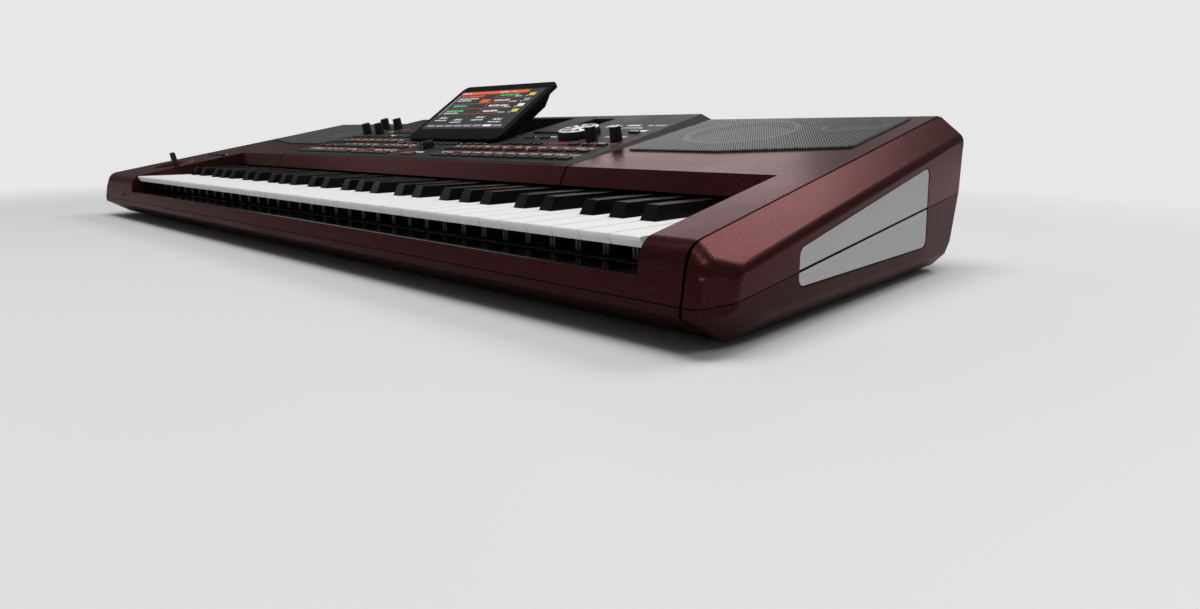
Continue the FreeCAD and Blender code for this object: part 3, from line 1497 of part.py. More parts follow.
def cone(x, along, radius):
    """A paper cone with a rolled surround and a dust cap."""
    rim = f"({radius} - cone_fit)"
    voice = f"({radius} * 0.3)"
    low = f"(-speaker_depth * {radius} / woofer_radius * 0.55)"
    body = turned("cone", [
        (rim, "-cone_thickness"),
        (rim, "-2 * cone_thickness"),
        (f"{radius} * 0.85", "-2 * cone_thickness"),
        (voice, f"{low} - cone_thickness"),
        ("0", f"{low} - cone_thickness"),
        ("0", f"{low} + 4 * cone_thickness"),
        (f"{voice} * 0.6", f"{low} + 3 * cone_thickness"),
        (voice, f"{low}"),
        (f"{radius} * 0.85", "-cone_thickness"),
        (f"{radius} * 0.92", "-cone_thickness / 4"),
    ])
    return on_deck(body, x, along, "-wall")


SPEAKERS = [(f"{side} * {name}_x", f"{name}_along", f"{name}_radius")
            for side in (-1, 1) for name in ("woofer", "tweeter")]
node(group(*[basket(*speaker) for speaker in SPEAKERS]), "speaker_baskets")
node(group(*[cone(*speaker) for speaker in SPEAKERS]), "speaker_cones")

# Speaker grilles: steel sheets on the decks over the speaker holes.
for label, side in (("left_grille", -1), ("right_grille", 1)):
    outline = [
        (f"{side} * grille_inner_front", "grille_front"),
        (f"{side} * (grille_outer - grille_slant)", "grille_front"),
        (f"{side} * grille_outer", "grille_front + grille_slant_run"),
        (f"{side} * grille_outer", "grille_rear"),
        (f"{side} * grille_inner_rear", "grille_rear"),
    ]
    sheet_steel = solid(label, "XY_Plane", outline, "grille_thickness")
    soften(sheet_steel, "Fillet", "grille_radius", along_height)
    soften(sheet_steel, "Chamfer", "grille_thickness / 2",
           lambda edge: close(edge.CenterOfMass.z, number_of("grille_thickness")))
    node(on_deck(sheet_steel), label)

# Rear plate with its sockets: the plate lies behind an opening in the rear wall.
PLATE_OUT = f"({REAR} - wall)"
PLATE_IN = f"({PLATE_OUT} - steel)"
rear_plate = box(
    ("-rear_width / 2 - rear_lap", "rear_width / 2 + rear_lap"),
    (PLATE_IN, PLATE_OUT),
    ("rear_height - rear_opening / 2 - rear_lap", "rear_height + rear_opening / 2 + rear_lap"),
)
THROUGH = (f"{PLATE_IN} - wall", f"{PLATE_OUT} + wall")


def centred(middle, half):
    return f"{middle} - {half}", f"{middle} + {half}"


JACKS = [f"jack_x + {index} * jack_pitch" for index in range(SIZES["jack_count"])]
MIDI = ["midi_x", "midi_x + midi_pitch"]
USB_HALF = ("(usb_width / 2)", "(usb_height / 2)")
INLET_HALF = ("(inlet_width / 2 + inlet_wall)", "(inlet_height / 2 + inlet_wall)")
ROCKER_HALF = ("(rocker_width / 2 + socket_fit)", "(rocker_half + rocker_play)")
plate_holes = [rod("y", "jack_radius + socket_fit", x, THROUGH, "rear_height") for x in JACKS]
plate_holes += [rod("y", "midi_radius + socket_fit", x, THROUGH, "rear_height") for x in MIDI]
for x, half in (("usb_x", USB_HALF), ("inlet_x", INLET_HALF)):
    plate_holes.append(box(centred(x, f"({half[0]} + socket_fit)"), THROUGH,
                           centred("rear_height", f"({half[1]} + socket_fit)")))
plate_holes.append(box(centred("rocker_x", ROCKER_HALF[0]), THROUGH, centred("rear_height", ROCKER_HALF[1])))
node(cut(rear_plate, *plate_holes), "rear_jack_plate")


def jack(x):
    """A quarter-inch jack: a bush through the plate, its nut outside and its body inside."""
    bush = rod("y", "jack_radius", x, (f"{PLATE_IN} - wall", f"{PLATE_OUT} + jack_nut_height"), "rear_height")
    nut = rod("y", "jack_nut", x, (PLATE_OUT, f"{PLATE_OUT} + jack_nut_height"), "rear_height")
    half = "(jack_body / 2)"
    body = box(centred(x, half), (f"{PLATE_IN} - jack_depth", PLATE_IN), centred("rear_height", half))
    bore = rod("y", "jack_bore", x, (f"{PLATE_IN} - jack_depth + wall", f"{PLATE_OUT} + wall"), "rear_height")
    return cut(fuse(bush, nut, body), bore)


node(group(*[jack(x) for x in JACKS]), "audio_jacks")


def round_socket(x):
    shell_x = rod("y", "midi_radius", x, (f"{PLATE_IN} - jack_depth", PLATE_OUT), "rear_height")
    bore = rod("y", "midi_bore", x, (f"{PLATE_IN} - jack_depth / 2", f"{PLATE_OUT} + wall"), "rear_height")
    return cut(shell_x, bore)


def square_socket(x, half, thickness, depth):
    shell_x = box(centred(x, half[0]), (f"{PLATE_IN} - {depth} - wall", PLATE_OUT),
                  centred("rear_height", half[1]))
    bore = box(centred(x, f"({half[0]} - {thickness})"), (f"{PLATE_IN} - {depth}", f"{PLATE_OUT} + wall"),
               centred("rear_height", f"({half[1]} - {thickness})"))
    return cut(shell_x, bore)


node(group(*[round_socket(x) for x in MIDI], square_socket("usb_x", USB_HALF, "usb_wall", "inlet_depth")),
     "data_sockets")
node(square_socket("inlet_x", INLET_HALF, "inlet_wall", "inlet_depth"), "mains_inlet")

# Power switch: a rocker in the rear plate.
ROCKER_Y = f"({PLATE_IN} + steel / 2)"
rocker = solid("rocker", "YZ_Plane", [
    ("-rocker_rise", "-rocker_half"),
    ("rocker_rise", "-rocker_half"),
    ("rocker_rise / 2", "0"),
    ("rocker_rise", "rocker_half"),
    ("-rocker_rise", "rocker_half"),
], "rocker_width", symmetric=True)
node(place(rocker, "rocker_x", ROCKER_Y, "rear_height", "rocker_tilt"), "power_switch")

# Headphone jack in the front of the left block.
PHONES_BACK = f"({FRONT} + 2.2 * wall)"
phones = cut(
    fuse(
        rod("y", "jack_radius", "phones_x", (f"{FRONT} + wall / 2", PHONES_BACK), "phones_height"),
        box(centred("phones_x", "jack_body / 2"), (PHONES_BACK, f"{PHONES_BACK} + jack_depth"),
            centred("phones_height", "jack_radius")),
    ),
    rod("y", "jack_bore", "phones_x", (FRONT, f"{PHONES_BACK} + jack_depth - wall"), "phones_height"),
)
node(phones, "headphone_jack")

# Main board on the tray's standoffs, and the power supply beside it.
BOARD_Z = f"({FLOOR} + standoff)"
BOARD_SPAN = ("-main_board_width / 2", "main_board_width / 2")
node(box(BOARD_SPAN, (BOARD_Y, BOARD_END), (BOARD_Z, f"{BOARD_Z} + board")), "main_board")
supply_outline = rectangle(("supply_x", "supply_x + supply_width"), (BOARD_Y, f"{BOARD_Y} + supply_depth"))
supply = solid("supply", "XY_Plane", supply_outline, "supply_height", FLOOR)
node(supply, "power_supply")

doc.recompute()
failed = [item.Label for item in doc.Objects if {"Invalid", "Error"} & set(item.State)]
for item in nodes:
    if item.Shape.isNull() or not item.Shape.isValid() or not item.Shape.Solids:
        failed.append(item.Label)
if failed:
    raise RuntimeError(f"these did not build: {failed}")
os.makedirs("parts", exist_ok=True)
for item in nodes:
    item.Shape.exportStep(f"parts/{item.Label}.step")
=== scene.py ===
import bmesh
import bpy
import json
import math
import numpy as np
import random
from mathutils import Matrix, Vector


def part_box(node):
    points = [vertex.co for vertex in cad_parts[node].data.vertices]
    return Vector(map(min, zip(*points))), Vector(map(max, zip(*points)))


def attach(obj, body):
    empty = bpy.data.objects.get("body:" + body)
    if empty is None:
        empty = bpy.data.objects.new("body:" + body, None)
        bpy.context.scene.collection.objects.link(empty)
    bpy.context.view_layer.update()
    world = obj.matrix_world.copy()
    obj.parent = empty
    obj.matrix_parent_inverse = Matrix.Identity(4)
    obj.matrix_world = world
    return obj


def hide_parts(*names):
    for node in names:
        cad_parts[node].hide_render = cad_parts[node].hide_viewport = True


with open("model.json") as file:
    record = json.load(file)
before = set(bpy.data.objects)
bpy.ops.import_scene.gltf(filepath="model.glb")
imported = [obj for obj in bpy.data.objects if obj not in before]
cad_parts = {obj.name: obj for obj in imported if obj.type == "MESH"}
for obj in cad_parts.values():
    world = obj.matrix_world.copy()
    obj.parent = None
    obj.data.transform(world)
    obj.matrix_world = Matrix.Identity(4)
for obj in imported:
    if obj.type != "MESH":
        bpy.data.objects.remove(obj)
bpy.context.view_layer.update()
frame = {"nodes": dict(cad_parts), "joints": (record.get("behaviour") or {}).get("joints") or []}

# Case mouldings: the upper case, the fascia strip and the upper halves of the end cheeks.
# Moulded plastic under a dark red lacquer full of fine metal flakes; screwed together from below.
nodes = frame["nodes"]


def fill(tree, socket, value):
    """Gives a socket a plain value, or a link where the value is a socket itself."""
    if isinstance(value, bpy.types.NodeSocket):
        tree.links.new(value, socket)
    else:
        socket.default_value = value


def wire(tree, sockets, **values):
    """Fills sockets by name; an underscore stands for a space."""
    for label, value in values.items():
        fill(tree, sockets[label.replace("_", " ")], value)


def put(tree, kind, *values, settings=None, **named):
    """Adds a shader node and fills its sockets, by number or by name."""
    node = tree.nodes.new("ShaderNode" + kind)
    for key, value in (settings or {}).items():
        setattr(node, key, value)
    for number, value in enumerate(values):
        fill(tree, node.inputs[number], value)
    wire(tree, node.inputs, **named)
    return node


def reckon(tree, operation, *values, kind="Math", **named):
    """The result of a sum on numbers, or with kind VectorMath on vectors."""
    return put(tree, kind, *values, settings={"operation": operation}, **named).outputs[0]


def spread(tree, value, low, high, to_low, to_high):
    """Maps a value from one range to another and holds it at the ends."""
    return put(tree, "MapRange", value, low, high, to_low, to_high).outputs[0]


def mix_colours(tree, factor, first, second):
    node = put(tree, "Mix", settings={"data_type": "RGBA"})
    for number, value in ((0, factor), (6, first), (7, second)):
        fill(tree, node.inputs[number], value)
    return node.outputs[2]


def object_place(tree):
    return put(tree, "TexCoord").outputs["Object"]


def paint(red, green, blue):
    return (red, green, blue, 1.0)


def effect(name, inputs, outputs):
    """An empty node group: inputs are (label, default) and outputs are labels."""
    tree = bpy.data.node_groups.new(name, "ShaderNodeTree")
    kinds = {3: "NodeSocketVector", 4: "NodeSocketColor"}
    for label, default in inputs:
        kind = kinds[len(default)] if isinstance(default, tuple) else "NodeSocketFloat"
        tree.interface.new_socket(label, in_out="INPUT", socket_type=kind).default_value = default
    for label in outputs:
        kind = {"Color": "NodeSocketColor", "Normal": "NodeSocketVector"}.get(label, "NodeSocketFloat")
        tree.interface.new_socket(label, in_out="OUTPUT", socket_type=kind)
    return tree, tree.nodes.new("NodeGroupInput").outputs, tree.nodes.new("NodeGroupOutput").inputs


def place_effect(tree, group, **values):
    node = tree.nodes.new("ShaderNodeGroup")
    node.node_tree = group
    wire(tree, node.inputs, **values)
    return node.outputs


def new_finish(name, **constants):
    """A material, its tree and its shader's sockets, with the values that are the same all over."""
    material = bpy.data.materials.new(name)
    material.use_nodes = True
    shader = material.node_tree.nodes["Principled BSDF"]
    wire(material.node_tree, shader.inputs, **constants)
    return material, material.node_tree, shader.inputs


flakes, given, result = effect(
    "metal_flakes_joint_shadow",
    [("Lacquer", paint(0.1, 0.02, 0.02)), ("Flake", paint(0.5, 0.3, 0.3)), ("Cells", 1500.0), ("Amount", 0.5),
     ("Tilt", 0.2), ("Smoothest", 0.3), ("Roughest", 0.45), ("Joint", 0.495), ("Joint Width", 0.001)],
    ["Color", "Roughness", "Normal"])
JOINT_PAINTED_SHADOW = paint(0.0015, 0.001, 0.001)
where = object_place(flakes)
cells = put(flakes, "TexVoronoi", Vector=where, Scale=given["Cells"]).outputs["Color"]
pick = put(flakes, "SeparateColor", cells).outputs["Red"]
bright = reckon(flakes, "MULTIPLY", spread(flakes, pick, 0.45, 1.0, 0.0, 1.0), given["Amount"])
sparkle = mix_colours(flakes, bright, given["Lacquer"], given["Flake"])
# Painted shadow: along the joints between the case ends and the cheeks the lacquer turns near black and
# rough, in a narrow band, for the shade in the groove.
across = reckon(flakes, "ABSOLUTE", put(flakes, "SeparateXYZ", where).outputs["X"])
from_joint = reckon(flakes, "ABSOLUTE", reckon(flakes, "SUBTRACT", across, given["Joint"]))
joint_core = reckon(flakes, "MULTIPLY", given["Joint Width"], 0.7)
joint = spread(flakes, from_joint, joint_core, given["Joint Width"], 1.0, 0.0)
wire(flakes, result, Color=mix_colours(flakes, joint, sparkle, JOINT_PAINTED_SHADOW))
cloud = put(flakes, "TexNoise", Vector=where, Scale=9.0, Detail=3.0).outputs["Fac"]
rough = spread(flakes, cloud, 0.3, 0.7, given["Smoothest"], given["Roughest"])
wire(flakes, result, Roughness=reckon(flakes, "MAXIMUM", rough, joint))
lean = reckon(flakes, "SUBTRACT", cells, (0.5, 0.5, 0.5), kind="VectorMath")
lean = reckon(flakes, "SCALE", lean, kind="VectorMath", Scale=given["Tilt"])
facing = reckon(flakes, "ADD", put(flakes, "NewGeometry").outputs["Normal"], lean, kind="VectorMath")
wire(flakes, result, Normal=reckon(flakes, "NORMALIZE", facing, kind="VectorMath"))


def lacquer(name, colour, flake, smoothest, roughest, shine):
    material, tree, shader = new_finish(name, Metallic=shine, Coat_Weight=0.02, Coat_Roughness=0.22,
                                        Specular_IOR_Level=0.08, Specular_Tint=paint(0.8, 0.62, 0.62))
    out = place_effect(tree, flakes, Lacquer=colour, Flake=flake, Amount=0.3, Cells=3200.0, Tilt=0.08,
                       Smoothest=smoothest, Roughest=roughest)
    wire(tree, shader, Base_Color=out["Color"], Roughness=out["Roughness"], Normal=out["Normal"])
    return material


def dress(material, *names):
    for name in names:
        mesh = nodes[name].data
        mesh.materials.clear()
        mesh.materials.append(material)


red_lacquer = lacquer("red_flake_lacquer", paint(0.040, 0.0090, 0.0095), paint(0.20, 0.075, 0.075),
                      0.24, 0.31, 0.6)
dress(red_lacquer, "upper_case", "centre_fascia", "left_cheek_upper", "right_cheek_upper")

# Bottom tray and lower cheek halves: the same red lacquer, a little duller, in a darker copy as painted
# shade.
# The tray is one moulding with a chamfered chin; screws go up through it into the upper case.
tray_shaded_lacquer = lacquer("tray_shaded_lacquer", paint(0.024, 0.0062, 0.0066), paint(0.11, 0.045, 0.045),
                       0.36, 0.46, 0.55)
dress(tray_shaded_lacquer, "lower_case", "left_cheek_lower", "right_cheek_lower")

# Side inserts: four thin aluminium plates with rounded corners, let into shallow pockets in the cheeks.
# Bead-blasted and clear anodised: pale grey and even, with a trace of rolling along their length.
def grey(level):
    return paint(level, level, level)


brushing, given, result = effect(
    "metal_brushing",
    [("Stretch", (20.0, 900.0, 900.0)), ("Dark", grey(0.5)), ("Light", grey(0.6)), ("Smoothest", 0.3),
     ("Roughest", 0.4)],
    ["Color", "Roughness", "Height"])
drawn = reckon(brushing, "MULTIPLY", object_place(brushing), given["Stretch"], kind="VectorMath")
lines = put(brushing, "TexNoise", Vector=drawn, Scale=1.0, Detail=4.0, Roughness=0.65).outputs["Fac"]
shade = spread(brushing, lines, 0.3, 0.7, 0.0, 1.0)
wire(brushing, result, Color=mix_colours(brushing, shade, given["Dark"], given["Light"]), Height=lines,
     Roughness=spread(brushing, lines, 0.3, 0.7, given["Smoothest"], given["Roughest"]))


def textured(name, group, strength, depth, constants, **values):
    """A finish whose colour, roughness and fine relief come from a node group."""
    material, tree, shader = new_finish(name, **constants)
    out = place_effect(tree, group, **values)
    bump = put(tree, "Bump", Strength=strength, Distance=depth, Height=out["Height"]).outputs[0]
    wire(tree, shader, Base_Color=out["Color"], Roughness=out["Roughness"], Normal=bump)
    return material


def metal(name, dark, light, smoothest, roughest, stretch, depth, shine=1.0):
    return textured(name, brushing, 0.25, depth, {"Metallic": shine}, Stretch=stretch, Dark=dark, Light=light,
                    Smoothest=smoothest, Roughest=roughest)


satin_silver = metal("satin_silver", paint(0.47, 0.47, 0.475), paint(0.53, 0.53, 0.535), 0.46, 0.55,
                     (1500.0, 120.0, 1500.0), 0.00002, 0.6)
dress(satin_silver, "side_inserts")

# Joint shadow strips: thin black strips between the two plates of each cheek, along the parting line.
# They paint the shade in the joint between the upper and the lower case and are cut flush with the pockets.
grain, given, result = effect(
    "mould_grain",
    [("Dark", grey(0.02)), ("Light", grey(0.03)), ("Cells", 900.0), ("Smoothest", 0.35), ("Roughest", 0.5)],
    ["Color", "Roughness", "Height"])
where = object_place(grain)
cloud = put(grain, "TexNoise", Vector=where, Scale=16.0, Detail=4.0, Roughness=0.6).outputs["Fac"]
cloud = spread(grain, cloud, 0.3, 0.7, 0.0, 1.0)
grit = put(grain, "TexNoise", Vector=where, Scale=given["Cells"], Detail=3.0, Roughness=0.6).outputs["Fac"]
speck = reckon(grain, "MULTIPLY", cloud, spread(grain, grit, 0.35, 0.65, 0.0, 1.0))
wire(grain, result, Color=mix_colours(grain, speck, given["Dark"], given["Light"]), Height=grit,
     Roughness=spread(grain, cloud, 0.0, 1.0, given["Smoothest"], given["Roughest"]))


def moulding(name, dark, light, smoothest, roughest, cells, depth, **constants):
    return textured(name, grain, 0.3, depth, constants, Dark=dark, Light=light, Cells=cells,
                    Smoothest=smoothest, Roughest=roughest)


def add_piece(name, points, faces, materials, body, marks=None, crease=40):
    """A mesh piece in the object's frame that rides on a body. Marks give each face's material by number."""
    mesh = bpy.data.meshes.new(name)
    mesh.from_pydata([tuple(point) for point in points], [], faces)
    for material in materials:
        mesh.materials.append(material)
    if marks:
        mesh.polygons.foreach_set("material_index", marks)
    shape = bmesh.new()
    shape.from_mesh(mesh)
    bmesh.ops.remove_doubles(shape, verts=shape.verts, dist=1e-7)
    bmesh.ops.dissolve_degenerate(shape, edges=shape.edges, dist=1e-7)
    bmesh.ops.recalc_face_normals(shape, faces=shape.faces)
    shape.to_mesh(mesh)
    shape.free()
    mesh.shade_smooth()
    mesh.set_sharp_from_angle(angle=math.radians(crease))
    piece = bpy.data.objects.new(name, mesh)
    bpy.context.scene.collection.objects.link(piece)
    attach(piece, body)
    return piece


def bands(loops, count, first=0, closed=True):
    """Four-sided faces between loops of points that follow each other, from the point numbered first."""
    faces = []
    for loop in range(loops - 1):
        start = first + loop * count
        for step in range(count if closed else count - 1):
            near, far = start + step, start + (step + 1) % count
            faces.append((near, far, far + count, near + count))
    return faces


painted_shadow_black = moulding("painted_shadow_black", grey(0.003), grey(0.007), 0.75, 0.95, 900.0, 0.0001,
                      Specular_IOR_Level=0.03)
STRIP_SECTION = [(0.51315, -0.00075), (0.51455, -0.00075), (0.51485, -0.00045), (0.51485, 0.00045),
                 (0.51455, 0.00075), (0.51315, 0.00075)]
STRIP_ENDS = (0.0876, 0.2955)
FRONT, PARTING, PARTING_RISE = -0.187016, 0.0266, math.tan(math.radians(5.9))
points, faces = [], []
for side in (1, -1):
    base = len(points)
    for run in STRIP_ENDS:
        points += [(side * x, FRONT + run, PARTING + run * PARTING_RISE + z) for x, z in STRIP_SECTION]
    faces += bands(2, len(STRIP_SECTION), base)
    faces += [tuple(range(base, base + 6)), tuple(range(base + 6, base + 12))]
add_piece("cheek_joint_shadow_strips", points, faces, [painted_shadow_black], "case")

# Fascia joint shadows: a thin black band at each end of the strip over the keys, where it meets the end
# blocks.
# It paints the shade in the gap there.
SHADOW_BAND_LINE = [(-0.04660, 0.07104), (-0.03807, 0.08656), (-0.03144, 0.08784)]
SHADOW_BAND_NEAR, SHADOW_BAND_FAR = 0.2648, 0.2671
points, faces = [], []
for near, far in ((SHADOW_BAND_NEAR, SHADOW_BAND_FAR), (-SHADOW_BAND_FAR, -SHADOW_BAND_NEAR)):
    base = len(points)
    points += [(x, y, z) for x in (near, far) for y, z in SHADOW_BAND_LINE]
    faces += [(base + i, base + 3 + i, base + 4 + i, base + 1 + i) for i in range(2)]
add_piece("fascia_joint_shadows", points, faces, [painted_shadow_black], "case")

# Keybed: a folded steel frame with a rolled edge that the keys rock on, and the stop felt along its front.
# The steel is zinc plated; the felt is pressed red wool, glued on.
zinc = metal("zinc_plate", paint(0.42, 0.42, 0.43), grey(0.56), 0.3, 0.5, (60.0, 500.0, 500.0), 0.0001)
dress(zinc, "keybed_frame", "rear_jack_plate")
felt = moulding("red_felt", paint(0.16, 0.012, 0.016), paint(0.32, 0.04, 0.05), 0.9, 1.0, 1400.0, 0.0006,
                Sheen_Weight=0.5, Sheen_Roughness=0.6)
dress(felt, "key_felts")

# Recess shadow sheet: a thin gloss black sheet on the shelf of the front rail, below the lips of the keys.
# It paints the shade of the recess under the keys; bevelled at its edges, it runs between the end blocks, and
# a red edge stays in front.
recess_shadow_black = moulding("recess_shadow_gloss_black", grey(0.003), grey(0.005), 0.1, 0.18, 300.0, 0.00001)
SHADOW_SHEET_LEFT, SHADOW_SHEET_RIGHT, SHADOW_SHEET_FRONT, SHADOW_SHEET_REAR = -0.3890, 0.4640, -0.1830, -0.1574
SHELF_TOP, SHADOW_SHEET_THICK = 0.0385, 0.0004
points = []
for inset, z in ((0.0, SHELF_TOP), (SHADOW_SHEET_THICK, SHELF_TOP + SHADOW_SHEET_THICK)):
    left, right = SHADOW_SHEET_LEFT + inset, SHADOW_SHEET_RIGHT - inset
    front, rear = SHADOW_SHEET_FRONT + inset, SHADOW_SHEET_REAR - inset
    points += [(left, front, z), (right, front, z), (right, rear, z), (left, rear, z)]
faces = [(0, 3, 2, 1), (4, 5, 6, 7)] + bands(2, 4)
add_piece("recess_shadow_sheet", points, faces, [recess_shadow_black], "case")

# White keys: injection-moulded with a nosing lip, hollow below, clipped on the rolled edge of the frame.
# The white shell has a polished top; below the lip its hollow is painted near black and its wall edges grey,
# as painted shade.
ivory = moulding("white_key_gloss", paint(0.86, 0.86, 0.85), paint(0.89, 0.89, 0.885), 0.16, 0.24, 260.0,
                 0.000015, Specular_IOR_Level=0.0, Coat_Weight=0.15, Coat_Roughness=0.12)
LIP_FOOT, TURNED_AWAY = (0.0515, 0.0505), (0.6, 0.8)
tree = ivory.node_tree
shader = tree.nodes["Principled BSDF"].inputs
white = shader["Base Color"].links[0].from_socket
facing = put(tree, "SeparateXYZ", put(tree, "NewGeometry").outputs["Normal"]).outputs
height = put(tree, "SeparateXYZ", object_place(tree)).outputs["Z"]
# Painted shade: below the lip, faces turned sideways or down go near black and frontward faces grey, for the
# dark inside of the keys.
below = spread(tree, height, *LIP_FOOT, 0.0, 1.0)
downward = reckon(tree, "MULTIPLY", facing["Z"], -1.0)
hidden = reckon(tree, "MAXIMUM", reckon(tree, "ABSOLUTE", facing["X"]), downward)
hollow_painted_shade = reckon(tree, "MULTIPLY", spread(tree, hidden, *TURNED_AWAY, 0.0, 1.0), below)
frontward = reckon(tree, "MULTIPLY", facing["Y"], -1.0)
wall_edge_painted_shade = reckon(tree, "MULTIPLY", spread(tree, frontward, *TURNED_AWAY, 0.0, 1.0), below)
shell_with_painted_shade = mix_colours(tree, wall_edge_painted_shade, white, grey(0.16))
wire(tree, shader, Base_Color=mix_colours(tree, hollow_painted_shade, shell_with_painted_shade, grey(0.03)))
dress(ivory, *[f"keys_{note}" for note in "cdefgab"])

# Black keys: satin black mouldings with raked fronts and softly rounded tops.
# Their grip surface is finely eroded in the mould, so it scatters the light.
ebony = moulding("black_key_satin", paint(0.0028, 0.0028, 0.003), paint(0.006, 0.006, 0.0063), 0.2, 0.29,
                 1100.0, 0.00003, Specular_IOR_Level=0.22)
dress(ebony, *[f"keys_{note}s" for note in "cdfga"])

# Control panel: a charcoal moulding with a fine spark-eroded texture, bevelled at its ends.
# Captions and bracket lines are screen printed on it in white and orange-red ink.
charcoal = moulding("panel_charcoal", paint(0.024, 0.0243, 0.0255), paint(0.041, 0.0415, 0.043), 0.46, 0.58,
                    1500.0, 0.00006, Specular_IOR_Level=0.2)
dress(charcoal, "control_panel")
PANEL_FRONT, PANEL_SLOPE = (0, -0.031016, 0.088123), math.radians(12.4)
PANEL = Matrix.Translation(PANEL_FRONT) @ Matrix.Rotation(PANEL_SLOPE, 4, "X")
INK_HEIGHT = 0.00006


def at(place, points):
    """Points in the axes of place, brought into the object's frame."""
    return [place @ Vector(point) for point in points]


def add_marks(name, shapes, place, height, material, body):
    """Flat printed marks: each shape is a loop of corners in the axes of place."""
    points, faces = [], []
    for shape in shapes:
        faces.append(range(len(points), len(points) + len(shape)))
        points += [(x, y, height) for x, y in shape]
    piece = add_piece(name, at(place, points), faces, [material], body)
    up = place.to_3x3() @ Vector((0, 0, 1))
    if piece.data.polygons[0].normal.dot(up) < 0:
        piece.data.flip_normals()


def bar(x, y, width, height):
    left, right, foot, head = x - width / 2, x + width / 2, y - height / 2, y + height / 2
    return [(left, foot), (right, foot), (right, head), (left, head)]


def words(x, y, width, height, chance):
    """Letter-like strokes side by side, as a caption looks from afar; they spell nothing."""
    strokes, left, thick = [], x - width / 2, 0.32 * height
    while left < x + width / 2 - 0.5 * height:
        kind = chance.randrange(6)
        wide = thick if kind == 0 else 0.8 * height
        strokes.append(bar(left + thick / 2, y, thick, height))
        if kind in (1, 2, 3):
            strokes.append(bar(left + wide - thick / 2, y, thick, height))
        reach = wide - (2 if kind in (1, 2, 3) else 1) * thick
        for level, kinds in ((0.34, (1, 3, 4)), (0.0, (2, 4, 5)), (-0.34, (3, 5))):
            if kind in kinds:
                strokes.append(bar(left + thick + reach / 2, y + level * height, reach, thick))
        left += wide + height * chance.choice((0.16, 0.16, 0.16, 0.5))
    return strokes


def solids_of(name, place):
    """Each separate solid of a CAD node, as its lowest and highest corner in the axes of place."""
    shape, back, found = bmesh.new(), place.inverted(), []
    shape.from_mesh(nodes[name].data)
    bmesh.ops.remove_doubles(shape, verts=shape.verts, dist=1e-6)
    left = set(shape.verts)
    while left:
        waiting, solid = [left.pop()], []
        while waiting:
            vert = waiting.pop()
            solid.append(back @ vert.co)
            for edge in vert.link_edges:
                other = edge.other_vert(vert)
                if other in left:
                    left.remove(other)
                    waiting.append(other)
        found.append((Vector(np.min(solid, 0)), Vector(np.max(solid, 0))))
    shape.free()
    return sorted(found, key=lambda ends: (round(ends[0].y, 3), ends[0].x))


def ink(name, colour):
    return moulding(name, paint(*[0.8 * part for part in colour[:3]]), colour, 0.45, 0.6, 3000.0, 0.00001)


white_ink = ink("white_ink", paint(0.85, 0.85, 0.84))
orange_ink = ink("orange_ink", paint(0.72, 0.11, 0.035))
chance = random.Random(7)
white_marks, orange_marks, button_rows = [], [], {}

# Solid white blocks, each as its middle across and along the panel, its width and its depth.
BLOCKS = [(-0.236, 0.0284, 0.018, 0.004), (-0.124, 0.0256, 0.012, 0.004), (-0.086, 0.0284, 0.014, 0.0036),
          (0.003, 0.0243, 0.019, 0.0045), (0.052, 0.027, 0.02, 0.0045), (-0.225, 0.0482, 0.02, 0.004),
          (-0.173, 0.1062, 0.0145, 0.0045), (0.1074, 0.1018, 0.011, 0.004), (0.1381, 0.1018, 0.0135, 0.004),
          (0.1826, 0.1524, 0.02, 0.008), (0.2072, 0.1566, 0.018, 0.006), (0.2377, 0.13, 0.0155, 0.0075)]


def free(x, along, wide, high):
    """Whether a caption stays clear of the solid white blocks."""
    for block_x, block_along, block_wide, block_high in BLOCKS:
        beside = abs(x - block_x) > (wide + block_wide) / 2
        if not beside and abs(along - block_along) <= (high + block_high) / 2:
            return False
    return True


